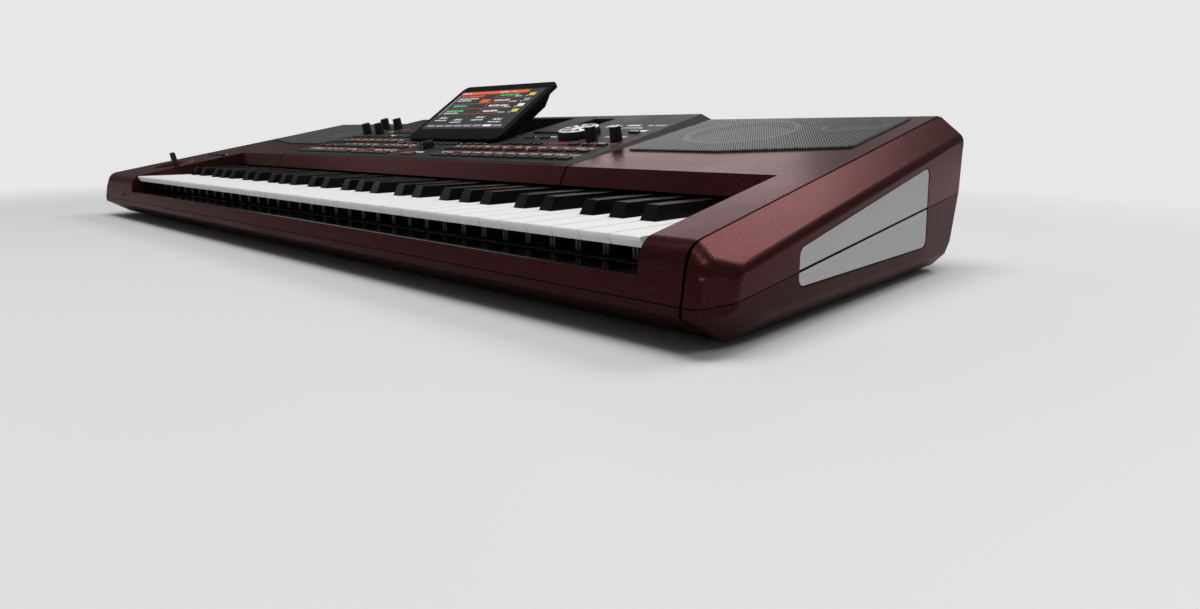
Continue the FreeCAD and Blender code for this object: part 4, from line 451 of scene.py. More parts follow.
# Distance of each line of print behind its buttons, and its height.
NAME_GAP, NAME_HIGH = 0.0027, 0.003
FRONT_GAP, FRONT_HIGH = 0.0064, 0.0024
FAR_GAP, FAR_HIGH = 0.0095, 0.0032
BRACKET_GAP, BRACKET_DROP, BRACKET_END = 0.0117, 0.0011, 0.0015
TITLE_GAP, TITLE_HIGH = 0.0018, 0.0022
LINE, RUN_BREAK = 0.0007, 0.0095
FRONT_ROW, BRACKET_ROWS, LEFT_ROW, LEFT_END = 0.02, 0.06, 0.07, -0.1
for group in ("style_buttons", "sound_buttons", "menu_buttons"):
    for low, high in solids_of(group, PANEL):
        row = (group, round((low.y + high.y) / 2, 4))
        button_rows.setdefault(row, []).append((low.x, high.x, high.y))
for (group, along), row in sorted(button_rows.items()):
    runs = [[row[0]]]
    for button in row[1:]:
        if button[0] - runs[-1][-1][1] > RUN_BREAK:
            runs.append([])
        runs[-1].append(button)
    for run in runs:
        left, right, rear = run[0][0], run[-1][1], run[0][2]
        spots = [((button[0] + button[1]) / 2, button[1] - button[0]) for button in run]
        for middle, wide in spots:
            marks = white_marks if chance.random() < 0.75 else orange_marks
            if free(middle, rear + NAME_GAP, 1.15 * wide, NAME_HIGH):
                marks += words(middle, rear + NAME_GAP, wide * chance.uniform(0.8, 1.15), NAME_HIGH, chance)
            lined = along < FRONT_ROW and chance.random() < 0.7
            if lined and free(middle, rear + FRONT_GAP, wide, FRONT_HIGH):
                orange_marks += words(middle, rear + FRONT_GAP, wide * 0.95, FRONT_HIGH, chance)
        if len(run) > 1 and (along < BRACKET_ROWS or along < LEFT_ROW and right < LEFT_END):
            for middle, wide in spots:
                if free(middle, rear + FAR_GAP, wide, FAR_HIGH):
                    wide *= chance.uniform(0.75, 1.0)
                    white_marks += words(middle, rear + FAR_GAP, wide, FAR_HIGH, chance)
            centre, lift = (left + right) / 2, rear + BRACKET_GAP
            orange_marks.append(bar(centre, lift, right - left, LINE))
            for end in (left, right):
                orange_marks.append(bar(end, lift - BRACKET_DROP, LINE, BRACKET_END))
            orange_marks += words(centre, lift + TITLE_GAP, 0.85 * (right - left), TITLE_HIGH, chance)
white_marks += [bar(*block) for block in BLOCKS]
for along, x, wide in ((0.1443, 0.2142, 0.027), (0.1558, 0.238, 0.021), (0.127, -0.196, 0.034),
                       (0.147, -0.145, 0.04), (0.1035, 0.228, 0.03)):
    white_marks += words(x, along, wide, 0.005, chance)
for along, x, wide in ((0.143, -0.2, 0.032), (0.157, -0.165, 0.034), (0.074, 0.226, 0.05),
                       (0.0745, 0.176, 0.03)):
    orange_marks += words(x, along, wide, 0.0034, chance)

# Status lamps: small moulded lenses pressed into the panel behind the front row of buttons.
# Clear red plastic; a few of them are lit.
lit_lens, tree, shader = new_finish("lamp_lens_lit", Roughness=0.2, Emission_Strength=1.2)
glow = put(tree, "TexNoise", Vector=object_place(tree), Scale=900.0).outputs["Fac"]
wire(tree, shader, Base_Color=mix_colours(tree, glow, paint(0.3, 0.01, 0.01), paint(0.4, 0.02, 0.02)),
     Emission_Color=mix_colours(tree, glow, paint(0.7, 0.02, 0.01), paint(0.95, 0.09, 0.04)))
dark_lens = moulding("lamp_lens_dark", paint(0.07, 0.006, 0.006), paint(0.12, 0.01, 0.01), 0.12, 0.2, 600.0,
                     0.00001)
LAMP_GAP, LAMP_WIDE, LAMP_DEEP = 0.0072, 0.0026, 0.0011
LAMP_FOOT, LAMP_TOP, LAMP_ROUND = -0.0005, 0.0004, 0.0002


def pillow(x, y, width, depth, low, high, round_off):
    """A small rounded cap: eight-cornered rings that shrink towards the top, and the faces between them."""
    shoulder = 0.3 * round_off
    rings = [(low, 0.0), (high - round_off, 0.0), (high - shoulder, shoulder), (high, round_off)]
    points, cut = [], 0.22 * min(width, depth)
    for height, inset in rings:
        half_x, half_y = width / 2 - inset, depth / 2 - inset
        for sx, sy in ((1, 1), (-1, 1), (-1, -1), (1, -1)):
            ends = [(sx * half_x, sy * (half_y - cut)), (sx * (half_x - cut), sy * half_y)]
            points += [(x + px, y + py, height) for px, py in (ends if sx * sy > 0 else ends[::-1])]
    top = range(8 * len(rings) - 8, 8 * len(rings))
    return points, bands(len(rings), 8) + [tuple(top)]


def add_forms(name, forms, materials, body, choice=None):
    """One piece of small forms, each a place, points and faces. Choice gives each form's material."""
    points, faces, marks = [], [], []
    for number, (place, corners, sides) in enumerate(forms):
        faces += [tuple(len(points) + i for i in side) for side in sides]
        points += at(place, corners)
        marks += [choice[number] if choice else 0] * len(sides)
    add_piece(name, points, faces, materials, body, marks)


def add_pillows(name, caps, place, materials, body, choice=None):
    add_forms(name, [(place, *pillow(*cap)) for cap in caps], materials, body, choice)


lamps = []
for (group, along), row in sorted(button_rows.items()):
    if along < FRONT_ROW:
        lamps += [((left + right) / 2, rear + LAMP_GAP, LAMP_WIDE, LAMP_DEEP, LAMP_FOOT, LAMP_TOP, LAMP_ROUND)
                  for left, right, rear in row]
lit = [1 if chance.random() < 0.16 else 0 for _ in lamps]
add_pillows("status_lamps", lamps, PANEL, [dark_lens, lit_lens], "case", lit)

# Knob scales: eleven short ticks round each control, and a frame line round the two level knobs.
# They are printed with the captions, so the marks are finished here.
TICKS, SWEEP = 11, 280
TICK_NEAR, TICK_FAR, TICK_LONG, TICK_HALF = 0.0084, 0.0096, 0.0102, 0.0002
KNOB_NAME_GAP, KNOB_NAME_WIDE, KNOB_NAME_HIGH = 0.0118, 0.014, 0.0019
FRAME_SIDE, FRAME_FOOT, FRAME_HEAD = 0.016, 0.0165, 0.0145
back = PANEL.inverted()
turns = {joint["child"]: back @ Vector(joint["pos_m"]) for joint in frame["joints"]
         if joint["name"].endswith("_turn")}
for name, middle in turns.items():
    if "knob" not in name:
        continue
    for tick in range(TICKS):
        angle = math.radians(90 + SWEEP / 2 - SWEEP / (TICKS - 1) * tick)
        out, side = Vector((math.cos(angle), math.sin(angle))), Vector((-math.sin(angle), math.cos(angle)))
        near = middle.xy + out * TICK_NEAR
        far = middle.xy + out * (TICK_FAR if tick % 5 else TICK_LONG)
        half = side * TICK_HALF
        white_marks.append([tuple(near + half), tuple(near - half), tuple(far - half), tuple(far + half)])
    orange_marks += words(middle.x, middle.y - KNOB_NAME_GAP, KNOB_NAME_WIDE, KNOB_NAME_HIGH, chance)
first, second = turns["level_knob_1"], turns["level_knob_2"]
left, right = min(first.x, second.x) - FRAME_SIDE, max(first.x, second.x) + FRAME_SIDE
foot, head = min(first.y, second.y) - FRAME_FOOT, max(first.y, second.y) + FRAME_HEAD
for along in (foot, head):
    orange_marks.append(bar((left + right) / 2, along, right - left + LINE, LINE))
for x in (left, right):
    orange_marks.append(bar(x, (foot + head) / 2, LINE, head - foot - LINE))
add_marks("panel_print_white", white_marks, PANEL, INK_HEIGHT, white_ink, "case")
add_marks("panel_print_orange", orange_marks, PANEL, INK_HEIGHT, orange_ink, "case")

# Panel buttons and assign switches: dark grey caps with a chamfered top, standing in close holes.
# They are moulded in one colour and sit on silicone domes on the board below.
button_grey = moulding("button_grey", paint(0.013, 0.013, 0.014), paint(0.024, 0.024, 0.0255), 0.24, 0.34,
                       1200.0, 0.00004)
dress(button_grey, "style_buttons", "sound_buttons", "menu_buttons", "assign_switches")

# Deck captions: white and orange printing round the three switches at the left end.
# It lies on the lacquer and is as thin as the printing on the panel.
DECK_HEIGHT, DECK_SLOPE = 0.0575, math.radians(11)
DECK = Matrix.Translation((0, FRONT, DECK_HEIGHT)) @ Matrix.Rotation(DECK_SLOPE, 4, "X")
deck_white, deck_orange = [], []
for low, high in solids_of("assign_switches", DECK):
    middle = (low.x + high.x) / 2
    deck_white += words(middle, high.y + 0.0035, 0.013, 0.0024, chance)
    deck_orange += words(middle, low.y - 0.0032, 0.011, 0.0021, chance)
add_marks("deck_print_white", deck_white, DECK, INK_HEIGHT, white_ink, "case")
add_marks("deck_print_orange", deck_orange, DECK, INK_HEIGHT, orange_ink, "case")

# Start button: a wider cap in clear red plastic with a lamp below it.
# It stands in its own hole in the front row and works on a dome like the others.
red_cap = moulding("start_red", paint(0.2, 0.012, 0.014), paint(0.3, 0.02, 0.022), 0.2, 0.32, 700.0, 0.00002,
                   Coat_Weight=0.3, Coat_Roughness=0.15)
dress(red_cap, "start_button")

# Rotary knobs: soft-touch black caps with fine flutes, pushed on the pots' shafts.
# Each has a red pointer let into its top and side; the two level knobs have a silver top plate.
soft_black = moulding("soft_black", paint(0.0035, 0.0035, 0.0038), paint(0.008, 0.008, 0.0085), 0.45, 0.6,
                      1600.0, 0.00005, Specular_IOR_Level=0.25)
red_pointer = ink("pointer_red", paint(0.78, 0.022, 0.02))
knob_silver = metal("knob_silver", grey(0.74), grey(0.84), 0.35, 0.5, (700.0, 90.0, 700.0), 0.00004, 0.2)


def lathe(profile, count, flutes=None):
    """Points and faces of a form turned about Z. Flutes are their number, depth, lowest and highest end."""
    points = []
    for radius, height in profile:
        for step in range(count):
            angle = 2 * math.pi * step / count
            reach = radius
            if flutes and flutes[2] < height < flutes[3]:
                reach -= flutes[1] * (0.5 + 0.5 * math.cos(flutes[0] * angle))
            points.append((reach * math.cos(angle), reach * math.sin(angle), height))
    return points, bands(len(profile), count)


KNOB_PROFILE = [(0.0050, 0.0006), (0.0061, 0.0006), (0.00615, 0.0012), (0.0060, 0.0030), (0.0057, 0.0115),
                (0.0055, 0.0138), (0.0053, 0.0146), (0.0049, 0.0149), (0.0045, 0.0150), (0.0, 0.0150)]
KNOB_STEPS, KNOB_FLUTES, TOP_RING = 120, (20, 0.00022, 0.002, 0.0142), 6
POINTER_HALF = 0.0016
POINTER_CREST = [(0.0006, 0.0155), (0.0045, 0.0155), (0.0049, 0.0154), (0.0054, 0.0150), (0.0058, 0.0139),
                 (0.0060, 0.0119)]
POINTER_FOOT = [(0.0006, 0.0148), (0.0043, 0.0148), (0.0046, 0.0147), (0.0050, 0.0144), (0.0053, 0.0137),
                (0.0055, 0.0117)]
pointer = []
for crest, foot in zip(POINTER_CREST, POINTER_FOOT):
    pointer += [(-POINTER_HALF, *foot), (-POINTER_HALF, *crest)]
    pointer += [(POINTER_HALF, *crest), (POINTER_HALF, *foot)]
pointer_faces = bands(len(POINTER_CREST), 4, closed=False) + [(0, 1, 2, 3), (20, 21, 22, 23)]
points, faces = lathe(KNOB_PROFILE, KNOB_STEPS, KNOB_FLUTES)
for name in ("mix_knob_1", "mix_knob_2", "mix_knob_3", "mix_knob_4", "level_knob_1", "level_knob_2"):
    stand = PANEL @ Matrix.Translation(turns[name].xy.to_3d())
    plated = name.startswith("level")
    marks = [1 if plated and face // KNOB_STEPS >= TOP_RING else 0 for face in range(len(faces))]
    cap = add_piece(name + "_cap", at(stand, points), faces, [soft_black, knob_silver], name,
                    marks)
    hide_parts(name)
    add_piece(name + "_pointer", at(stand, pointer), pointer_faces, [red_pointer], name)

# Value dial: a flat silver disc with ten wedge-shaped recesses between its spokes, in a knurled black rim.
# The rim is moulded, the disc is glued on it, and the whole turns on an encoder's shaft.
dial_silver = metal("dial_silver", grey(0.78), grey(0.87), 0.3, 0.44, (400.0, 400.0, 90.0), 0.00004, 0.2)
DIAL_PROFILE = [(0.0060, 0.0006), (0.0218, 0.0006), (0.02235, 0.0010), (0.0224, 0.0022), (0.0224, 0.0044),
                (0.0222, 0.0052), (0.0219, 0.0060), (0.0216, 0.0072), (0.0211, 0.0080), (0.0205, 0.0084),
                (0.0197, 0.0085), (0.0181, 0.0085), (0.0179, 0.0085), (0.0077, 0.0085), (0.0075, 0.0085),
                (0.0060, 0.0085), (0.0056, 0.0082), (0.0044, 0.0075), (0.0030, 0.0071), (0.0, 0.0071)]
DIAL_STEPS, DIAL_FLUTES, SPOKE_STEPS, SLOT_HALF = 360, (60, 0.0003, 0.002, 0.0058), 36, 9
RIM_RINGS, SLOT_RINGS, SLOT_DEPTH = 8, (12, 13), 0.001
stand = PANEL @ Matrix.Translation(turns["data_dial"].xy.to_3d())
points, faces = lathe(DIAL_PROFILE, DIAL_STEPS, DIAL_FLUTES)
slotted = {step for step in range(DIAL_STEPS) if abs(step % SPOKE_STEPS - SPOKE_STEPS // 2) < SLOT_HALF}
for ring in SLOT_RINGS:
    for step in slotted:
        x, y, z = points[ring * DIAL_STEPS + step]
        points[ring * DIAL_STEPS + step] = (x, y, z - SLOT_DEPTH)
marks = []
for face in range(len(faces)):
    ring, step = divmod(face, DIAL_STEPS)
    cut = step in slotted or (step + 1) % DIAL_STEPS in slotted
    in_slot = cut and SLOT_RINGS[0] - 1 <= ring <= SLOT_RINGS[-1]
    marks.append(0 if ring < RIM_RINGS or in_slot else 1)
dial = add_piece("value_dial", at(stand, points), faces, [soft_black, dial_silver], "data_dial",
                 marks)
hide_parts("data_dial")

# Crossfader: a black moulded cap with a hollow for the fingertip and a white line, on a thin stem.
# It slides from side to side in a slot of the panel.
FADER_FOOT = 0.0006
FADER_HALF = [(-0.0044, FADER_FOOT), (-0.0043, 0.0050), (-0.0040, 0.0072), (-0.0034, 0.0084),
              (-0.0026, 0.0083), (-0.0018, 0.0072), (-0.0009, 0.0064)]
FADER_PROFILE = FADER_HALF + [(0.0, 0.0062)] + [(-x, z) for x, z in reversed(FADER_HALF)]
FADER_RINGS = [(-0.0069, 0.86), (-0.0066, 0.95), (-0.0060, 1.0), (0.0060, 1.0), (0.0066, 0.95),
               (0.0069, 0.86)]
STEM = [(-0.0025, -0.001), (0.0025, -0.001), (0.0025, 0.001), (-0.0025, 0.001)]
STEM_TOP, FADER_FACE, HOLLOW_FLOOR = 0.001, 0.00695, 0.00624
low, high = solids_of("crossfader", PANEL)[0]
middle, along = (low.x + high.x) / 2, (low.y + high.y) / 2
points, count, rings = [], len(FADER_PROFILE), len(FADER_RINGS)
for y, shrink in FADER_RINGS:
    points += [(middle + x * shrink, along + y, FADER_FOOT + (z - FADER_FOOT) * shrink)
               for x, z in FADER_PROFILE]
faces = bands(rings, count, closed=False)
faces += [tuple(range(count)), tuple(range((rings - 1) * count, rings * count))]
faces += bands(2, len(STEM), len(points))
points += [(middle + x, along + y, z) for z in (low.z, STEM_TOP) for x, y in STEM]
cap = add_piece("crossfader_cap", at(PANEL, points), faces, [soft_black], "crossfader")
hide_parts("crossfader")
add_marks("crossfader_line", [bar(middle, along, LINE, 0.0118)], PANEL, HOLLOW_FLOOR, white_ink,
          "crossfader")
front_face = PANEL @ Matrix.Translation((middle, along - FADER_FACE, 0.0))
front_face = front_face @ Matrix.Rotation(math.pi / 2, 4, "X")
add_marks("crossfader_front_line", [bar(0.0, 0.0031, 0.0011, 0.0042)], front_face, 0.0, white_ink,
          "crossfader")

# Pots, encoder and slide pot under the panel: pressed housings with turned shafts.
# They are soldered to the panel board and hidden by the panel.
pot_black = moulding("pot_black", paint(0.015, 0.015, 0.016), paint(0.03, 0.03, 0.031), 0.4, 0.55, 700.0,
                     0.00005)
dress(pot_black, "panel_pots")

# Display: a flat black moulding with rounded edges that holds the touch glass; it tilts on two pins.
# The frame and its hollow back are satin plastic, the hinge brackets at its foot turned steel.
frame_black = moulding("display_satin_black", paint(0.003, 0.003, 0.0032), paint(0.0055, 0.0055, 0.0058),
                       0.5, 0.62, 1300.0, 0.00003, Specular_IOR_Level=0.1)
dress(frame_black, "display_bezel", "display_back")
hinge_steel = metal("hinge_steel", paint(0.32, 0.32, 0.33), paint(0.46, 0.46, 0.47), 0.25, 0.4,
                    (800.0, 80.0, 80.0), 0.00004)
dress(hinge_steel, "display_bracket")

# Cooling ribs: a field of low bars moulded across the middle of the display's back.
# They stiffen the thin wall and break up the plain surface.
DISPLAY_SLOPE = math.radians(34.4)
RIB_LONG, RIB_WIDE, RIB_PITCH, RIB_SUNK, RIB_HIGH, RIB_ROUND = 0.078, 0.0018, 0.0052, 0.0004, 0.0007, 0.0003


def joint_place(name):
    """Where a joint's axis stands in the object's frame."""
    return next(Vector(joint["pos_m"]) for joint in frame["joints"] if joint["name"] == name)


DISPLAY = Matrix.Translation(joint_place("display_tilt")) @ Matrix.Rotation(DISPLAY_SLOPE, 4, "X")
BEHIND = DISPLAY @ Matrix.Rotation(math.pi, 4, "Y")
low, high = solids_of("display_back", DISPLAY)[0]
middle, wall = (low.y + high.y) / 2, -low.z
ribs = [(0.0, middle + RIB_PITCH * step, RIB_LONG, RIB_WIDE, wall - RIB_SUNK, wall + RIB_HIGH, RIB_ROUND)
        for step in range(-4, 5)]
add_pillows("display_back_ribs", ribs, BEHIND, [frame_black], "display")

# Touch glass: a dark screen under hardened glass, flush with its frame.
# What it shows is a plain mixer page: bars, tiles and rows, drawn as thin lit marks on the glass.
touch_glass, tree, shader = new_finish("touch_glass", Metallic=0.0, Coat_Weight=0.15, Coat_Roughness=0.08,
                                       Emission_Strength=0.35, Specular_IOR_Level=0.25)
haze = put(tree, "TexNoise", Vector=object_place(tree), Scale=30.0, Detail=4.0).outputs["Fac"]
wire(tree, shader, Roughness=spread(tree, haze, 0.3, 0.7, 0.1, 0.2),
     Base_Color=mix_colours(tree, haze, paint(0.018, 0.018, 0.02), paint(0.026, 0.026, 0.028)),
     Emission_Color=mix_colours(tree, haze, paint(0.05, 0.05, 0.054), paint(0.075, 0.075, 0.08)))
dress(touch_glass, "display_glass")

PAGE_COLOURS = {"orange": (0.9, 0.14, 0.03), "white": (0.9, 0.9, 0.9), "grey": (0.32, 0.32, 0.33),
                "green": (0.08, 0.75, 0.2), "cyan": (0.1, 0.65, 0.7), "yellow": (0.65, 0.65, 0.12)}
PAGE_EDGE, PAGE_LIFT = 0.002, 0.00005
low, high = solids_of("display_glass", DISPLAY)[0]
page_left, page_foot = low.x + PAGE_EDGE, low.y + PAGE_EDGE
page_wide, page_deep = high.x - low.x - 2 * PAGE_EDGE, high.y - low.y - 2 * PAGE_EDGE
page, page_top = {colour: [] for colour in PAGE_COLOURS}, high.z + PAGE_LIFT


def on_page(colour, left, foot, right, head, seed=None):
    """A plain bar on the page, or with a seed a row of words, between edges given as shares of the page."""
    x, y = page_left + (left + right) / 2 * page_wide, page_foot + (foot + head) / 2 * page_deep
    wide, deep = (right - left) * page_wide, (head - foot) * page_deep
    page[colour] += words(x, y, wide, deep, random.Random(seed)) if seed else [bar(x, y, wide, deep)]


for spot in (("orange", 0.0, 0.925, 0.845, 1.0), ("white", 0.02, 0.945, 0.13, 0.98, 1),
             ("white", 0.5, 0.945, 0.6, 0.98, 2), ("white", 0.66, 0.945, 0.69, 0.98, 3),
             ("orange", 0.05, 0.85, 0.34, 0.895, 4), ("white", 0.05, 0.79, 0.3, 0.823, 5),
             ("white", 0.05, 0.735, 0.24, 0.765, 6), ("orange", 0.37, 0.68, 0.48, 0.77),
             ("cyan", 0.08, 0.575, 0.27, 0.62, 7), ("green", 0.06, 0.43, 0.29, 0.475, 8),
             ("white", 0.06, 0.385, 0.25, 0.412, 9)):
    on_page(*spot)
for head in (0.655, 0.51, 0.365):
    on_page("orange", 0.03, head, 0.5, head + 0.006)
PAGE_ROWS = ((0.865, "green", "yellow"), (0.72, "white", "grey"), (0.575, "white", "white"),
             (0.43, "white", "yellow"))
for number, (head, name_colour, tile_colour) in enumerate(PAGE_ROWS):
    on_page(name_colour, 0.545, head - 0.015, 0.78 - 0.05 * (number % 2), head + 0.03, 10 + number)
    on_page("orange", 0.52, head - 0.06, 0.845, head - 0.054)
    on_page("white", 0.74, head - 0.045, 0.82, head - 0.024, 20 + number)
    on_page(tile_colour, 0.885, head - 0.035, 0.955, head + 0.045)
    on_page("white", 0.865, head - 0.05, 0.88, head - 0.03)
on_page("orange", 0.505, 0.365, 0.51, 0.92)
for number, (left, foot) in enumerate(((0.07, 0.245), (0.29, 0.19), (0.54, 0.245), (0.77, 0.19))):
    for step in range(5):
        near, head = left + 0.024 * step, foot + 0.034 + 0.012 * (step % 3)
        on_page("white" if step % 2 else "grey", near, foot, near + 0.02, head)
    on_page("white", left - 0.02, foot - 0.06, left + 0.13, foot - 0.033, 30 + number)
for number in range(8):
    left = 0.03 + 0.118 * number
    on_page("white" if number == 6 else "grey", left, 0.025, left + 0.1, 0.075)
for tick in range(18):
    on_page("white", 0.008, 0.36 + 0.031 * tick, 0.02, 0.374 + 0.031 * tick)

dots, given, result = effect("screen_dots", [("Dot", grey(1.0)), ("Gap", grey(0.5))], ["Color"])
columns = put(dots, "TexWave", Vector=object_place(dots), Scale=600.0, settings={"bands_direction": "X"})
wire(dots, result, Color=mix_colours(dots, columns.outputs["Fac"], given["Gap"], given["Dot"]))
for colour, tint in PAGE_COLOURS.items():
    glowing, tree, shader = new_finish("screen_" + colour, Base_Color=grey(0.02), Roughness=0.35,
                                       Emission_Strength=1.0, Specular_IOR_Level=0.2)
    out = place_effect(tree, dots, Dot=paint(*tint), Gap=paint(*[0.75 * part for part in tint]))
    wire(tree, shader, Emission_Color=out["Color"])
    add_marks("screen_page_" + colour, page[colour], DISPLAY, page_top, glowing, "display")

# Joystick: a slim black lever in a gimbal of two yokes, in a dish of the deck.
# Lever, gimbal and base are moulded in black; a soft ring covers the edge of the hole.
stick_black = moulding("stick_black", paint(0.007, 0.007, 0.0075), paint(0.014, 0.014, 0.0145), 0.3, 0.42,
                       1300.0, 0.00003)
dress(stick_black, "joystick_lever", "joystick_gimbal", "joystick_base")


def add_rings(name, places, profile, count, material):
    """One piece on the case of like turned forms, each about the Z axis of its place."""
    add_forms(name, [(place, *lathe(profile, count)) for place in places], [material], "case")


rubber = moulding("soft_rubber", grey(0.008), grey(0.016), 0.7, 0.85, 800.0, 0.0002)
COLLAR = [(0.0109, -0.0078), (0.0109, -0.0066), (0.0113, -0.0062), (0.0120, -0.0060), (0.0126, -0.0061),
          (0.0131, -0.0065), (0.0125, -0.0072), (0.0118, -0.0078), (0.0109, -0.0078)]
stick = DECK.inverted() @ joint_place("joystick_fore_aft")
add_rings("joystick_collar", [DECK @ Matrix.Translation(stick.xy.to_3d())], COLLAR, 96, rubber)

# Speakers: two woofers and two tweeters with pressed baskets, pulp cones and rolled rubber surrounds.
# They are screwed up against the underside of the decks and show faintly through the grilles.
basket_black = metal("basket_black", paint(0.02, 0.02, 0.021), paint(0.04, 0.04, 0.041), 0.4, 0.55,
                     (300.0, 300.0, 300.0), 0.0001, 0.6)
dress(basket_black, "speaker_baskets")
pulp = moulding("cone_pulp", paint(0.06, 0.056, 0.054), paint(0.12, 0.112, 0.106), 0.6, 0.8, 500.0, 0.0004)
dress(pulp, "speaker_cones")

# Speaker trims: thin lacquered rings round the four speaker holes, under the grilles.
# They are moulded with the deck's finish and show as pale red arcs through the perforated sheet.
WOOFER, TWEETER = (0.348, 0.297, 0.048), (0.443, 0.324, 0.023)
TRIM_SECTION = [(0.0002, 0.0), (0.0003, 0.0007), (0.0009, 0.0012), (0.0040, 0.0012), (0.0049, 0.0007),
                (0.0051, 0.0), (0.0002, 0.0)]
for name, (x, along, radius) in (("woofer_trims", WOOFER), ("tweeter_trims", TWEETER)):
    profile = [(radius + out, up) for out, up in TRIM_SECTION]
    places = [DECK @ Matrix.Translation((side * x, along, 0.0)) for side in (1, -1)]
    add_rings(name, places, profile, 120, red_lacquer)

# Baffles: thin black plates on the decks under the grilles, cut out round the speaker trims.
# Pressed board with a dull black skin, glued down so that no red shows through the holes.
baffle_black = moulding("baffle_black", paint(0.004, 0.004, 0.0042), paint(0.009, 0.009, 0.0093), 0.75, 0.9,
                        900.0, 0.0002, Specular_IOR_Level=0.1)
CORNERS = [(0.280, 0.214), (0.375, 0.214), (0.478, 0.238), (0.478, 0.360), (0.271, 0.360)]
CUT_EDGE, CUT_ROUND, PLATE_TOP = 0.003, 0.0052, 0.0003
middle = sum((Vector(corner) for corner in CORNERS), Vector((0.0, 0.0))) / len(CORNERS)
loops = [[Vector(corner) + (middle - Vector(corner)).normalized() * CUT_EDGE for corner in CORNERS]]
for x, along, radius in (WOOFER, TWEETER):
    loops.append([Vector((x, along)) + (radius + CUT_ROUND) * Vector((math.cos(turn), math.sin(turn)))
                  for turn in np.radians(np.arange(0, 360, 3))])
for name, side in (("right_baffle", 1), ("left_baffle", -1)):
    shape, edges = bmesh.new(), []
    for loop in loops:
        verts = [shape.verts.new(point) for point in at(DECK, [(side * p.x, p.y, PLATE_TOP) for p in loop])]
        edges += [shape.edges.new((verts[i - 1], verts[i])) for i in range(len(verts))]
    bmesh.ops.triangle_fill(shape, use_beauty=True, edges=edges)
    shape.verts.index_update()
    faces = [tuple(vert.index for vert in face.verts) for face in shape.faces]
    points = [vert.co.copy() for vert in shape.verts]
    shape.free()
    add_piece(name, points, faces, [baffle_black], "case")

# Grilles: perforated steel sheet, rolled over at its edges and painted satin grey.
# Each sheet clips into the deck; its rolled rim is painted black, as painted shadow along the sheet's edge.
grille_paint = metal("grille_paint", paint(0.23, 0.23, 0.234), paint(0.31, 0.31, 0.315), 0.34, 0.46,
                     (500.0, 500.0, 500.0), 0.00004, 0.8)
rim_painted_shadow_black = moulding("grille_rim_painted_shadow", grey(0.004), grey(0.009), 0.4, 0.55, 900.0, 0.00003,
                        Specular_IOR_Level=0.15)
HOLE_PITCH, HOLE_RADIUS, HOLE_SINK, HOLE_MARGIN = 0.0022, 0.00086, 0.00006, 0.0013
FIELD_LEFT, FIELD_FOOT, FIELD_WIDE, FIELD_DEEP = 0.2705, 0.2125, 0.213, 0.15
ROLL, SHEET_TOP, SHEET_FALL, CORNER_ROUND = 0.0030, 0.00175, 0.0017, 0.008
RIM_STEPS, RIM_LIP = (0.0, 0.0002, 0.0005, 0.0009, 0.0014), 0.0003


def rounded(corners, radius, steps):
    """The outline with arcs at its corners."""
    line = []
    for number, corner in enumerate(corners):
        here = Vector(corner)
        back = (Vector(corners[number - 1]) - here).normalized()
        ahead = (Vector(corners[(number + 1) % len(corners)]) - here).normalized()
        half = math.acos(max(-1.0, min(1.0, back.dot(ahead)))) / 2
        centre = here + (back + ahead).normalized() * radius / math.sin(half)
        first, last = [(here + way * radius / math.tan(half) - centre).normalized() for way in (back, ahead)]
        line += [centre + radius * first.slerp(last, step / steps) for step in range(steps + 1)]
    return line


starts = np.array([tuple(point) for point in rounded(CORNERS, CORNER_ROUND, 6)])
ends = np.roll(starts, -1, 0)
inward = np.stack([-(ends - starts)[:, 1], (ends - starts)[:, 0]], 1)
inward /= np.linalg.norm(inward, axis=1)[:, None]


def edge_distance(points):
    """How far inside the outline each point is."""
    return np.min(np.einsum("nkd,kd->nk", points[:, None, :] - starts[None], inward), 1)


def sheet_height(distance):
    """Height of the sheet over the deck: flat, and rolled down to the deck at its edge."""
    fall = np.clip((ROLL - distance) / ROLL, 0.0, 1.0)
    return SHEET_TOP - SHEET_FALL * (1 - np.sqrt(np.clip(1 - fall ** 2, 0.0, 1.0)))


cell = HOLE_PITCH / math.sqrt(3)
row_pitch = 1.5 * cell
centres = np.array([(FIELD_LEFT + (column + 0.5 * (row % 2)) * HOLE_PITCH, FIELD_FOOT + row * row_pitch)
                    for row in range(int(FIELD_DEEP / row_pitch))
                    for column in range(int(FIELD_WIDE / HOLE_PITCH))])
centres = centres[edge_distance(centres) > HOLE_MARGIN]
turn = np.radians(30 + 60 * np.arange(6))
hexagon = np.stack([np.cos(turn), np.sin(turn)], 1)
outer = (centres[:, None] + cell * hexagon[None]).reshape(-1, 2)
inner = (centres[:, None] + HOLE_RADIUS * hexagon[None]).reshape(-1, 2)
flat = np.concatenate([outer, inner])
heights = sheet_height(edge_distance(flat))
heights[len(outer):] -= HOLE_SINK
webs = []
for first in range(0, len(outer), 6):
    for side in range(6):
        near, far = first + side, first + (side + 1) % 6
        webs.append((near, far, len(outer) + far, len(outer) + near))
bisector = inward + np.roll(inward, 1, 0)
bisector /= np.linalg.norm(bisector, axis=1)[:, None]
rim = np.concatenate([starts + bisector * step for step in RIM_STEPS])
rim_heights = np.repeat(sheet_height(np.array(RIM_STEPS)), len(starts))
rim_heights[-len(starts):] -= RIM_LIP
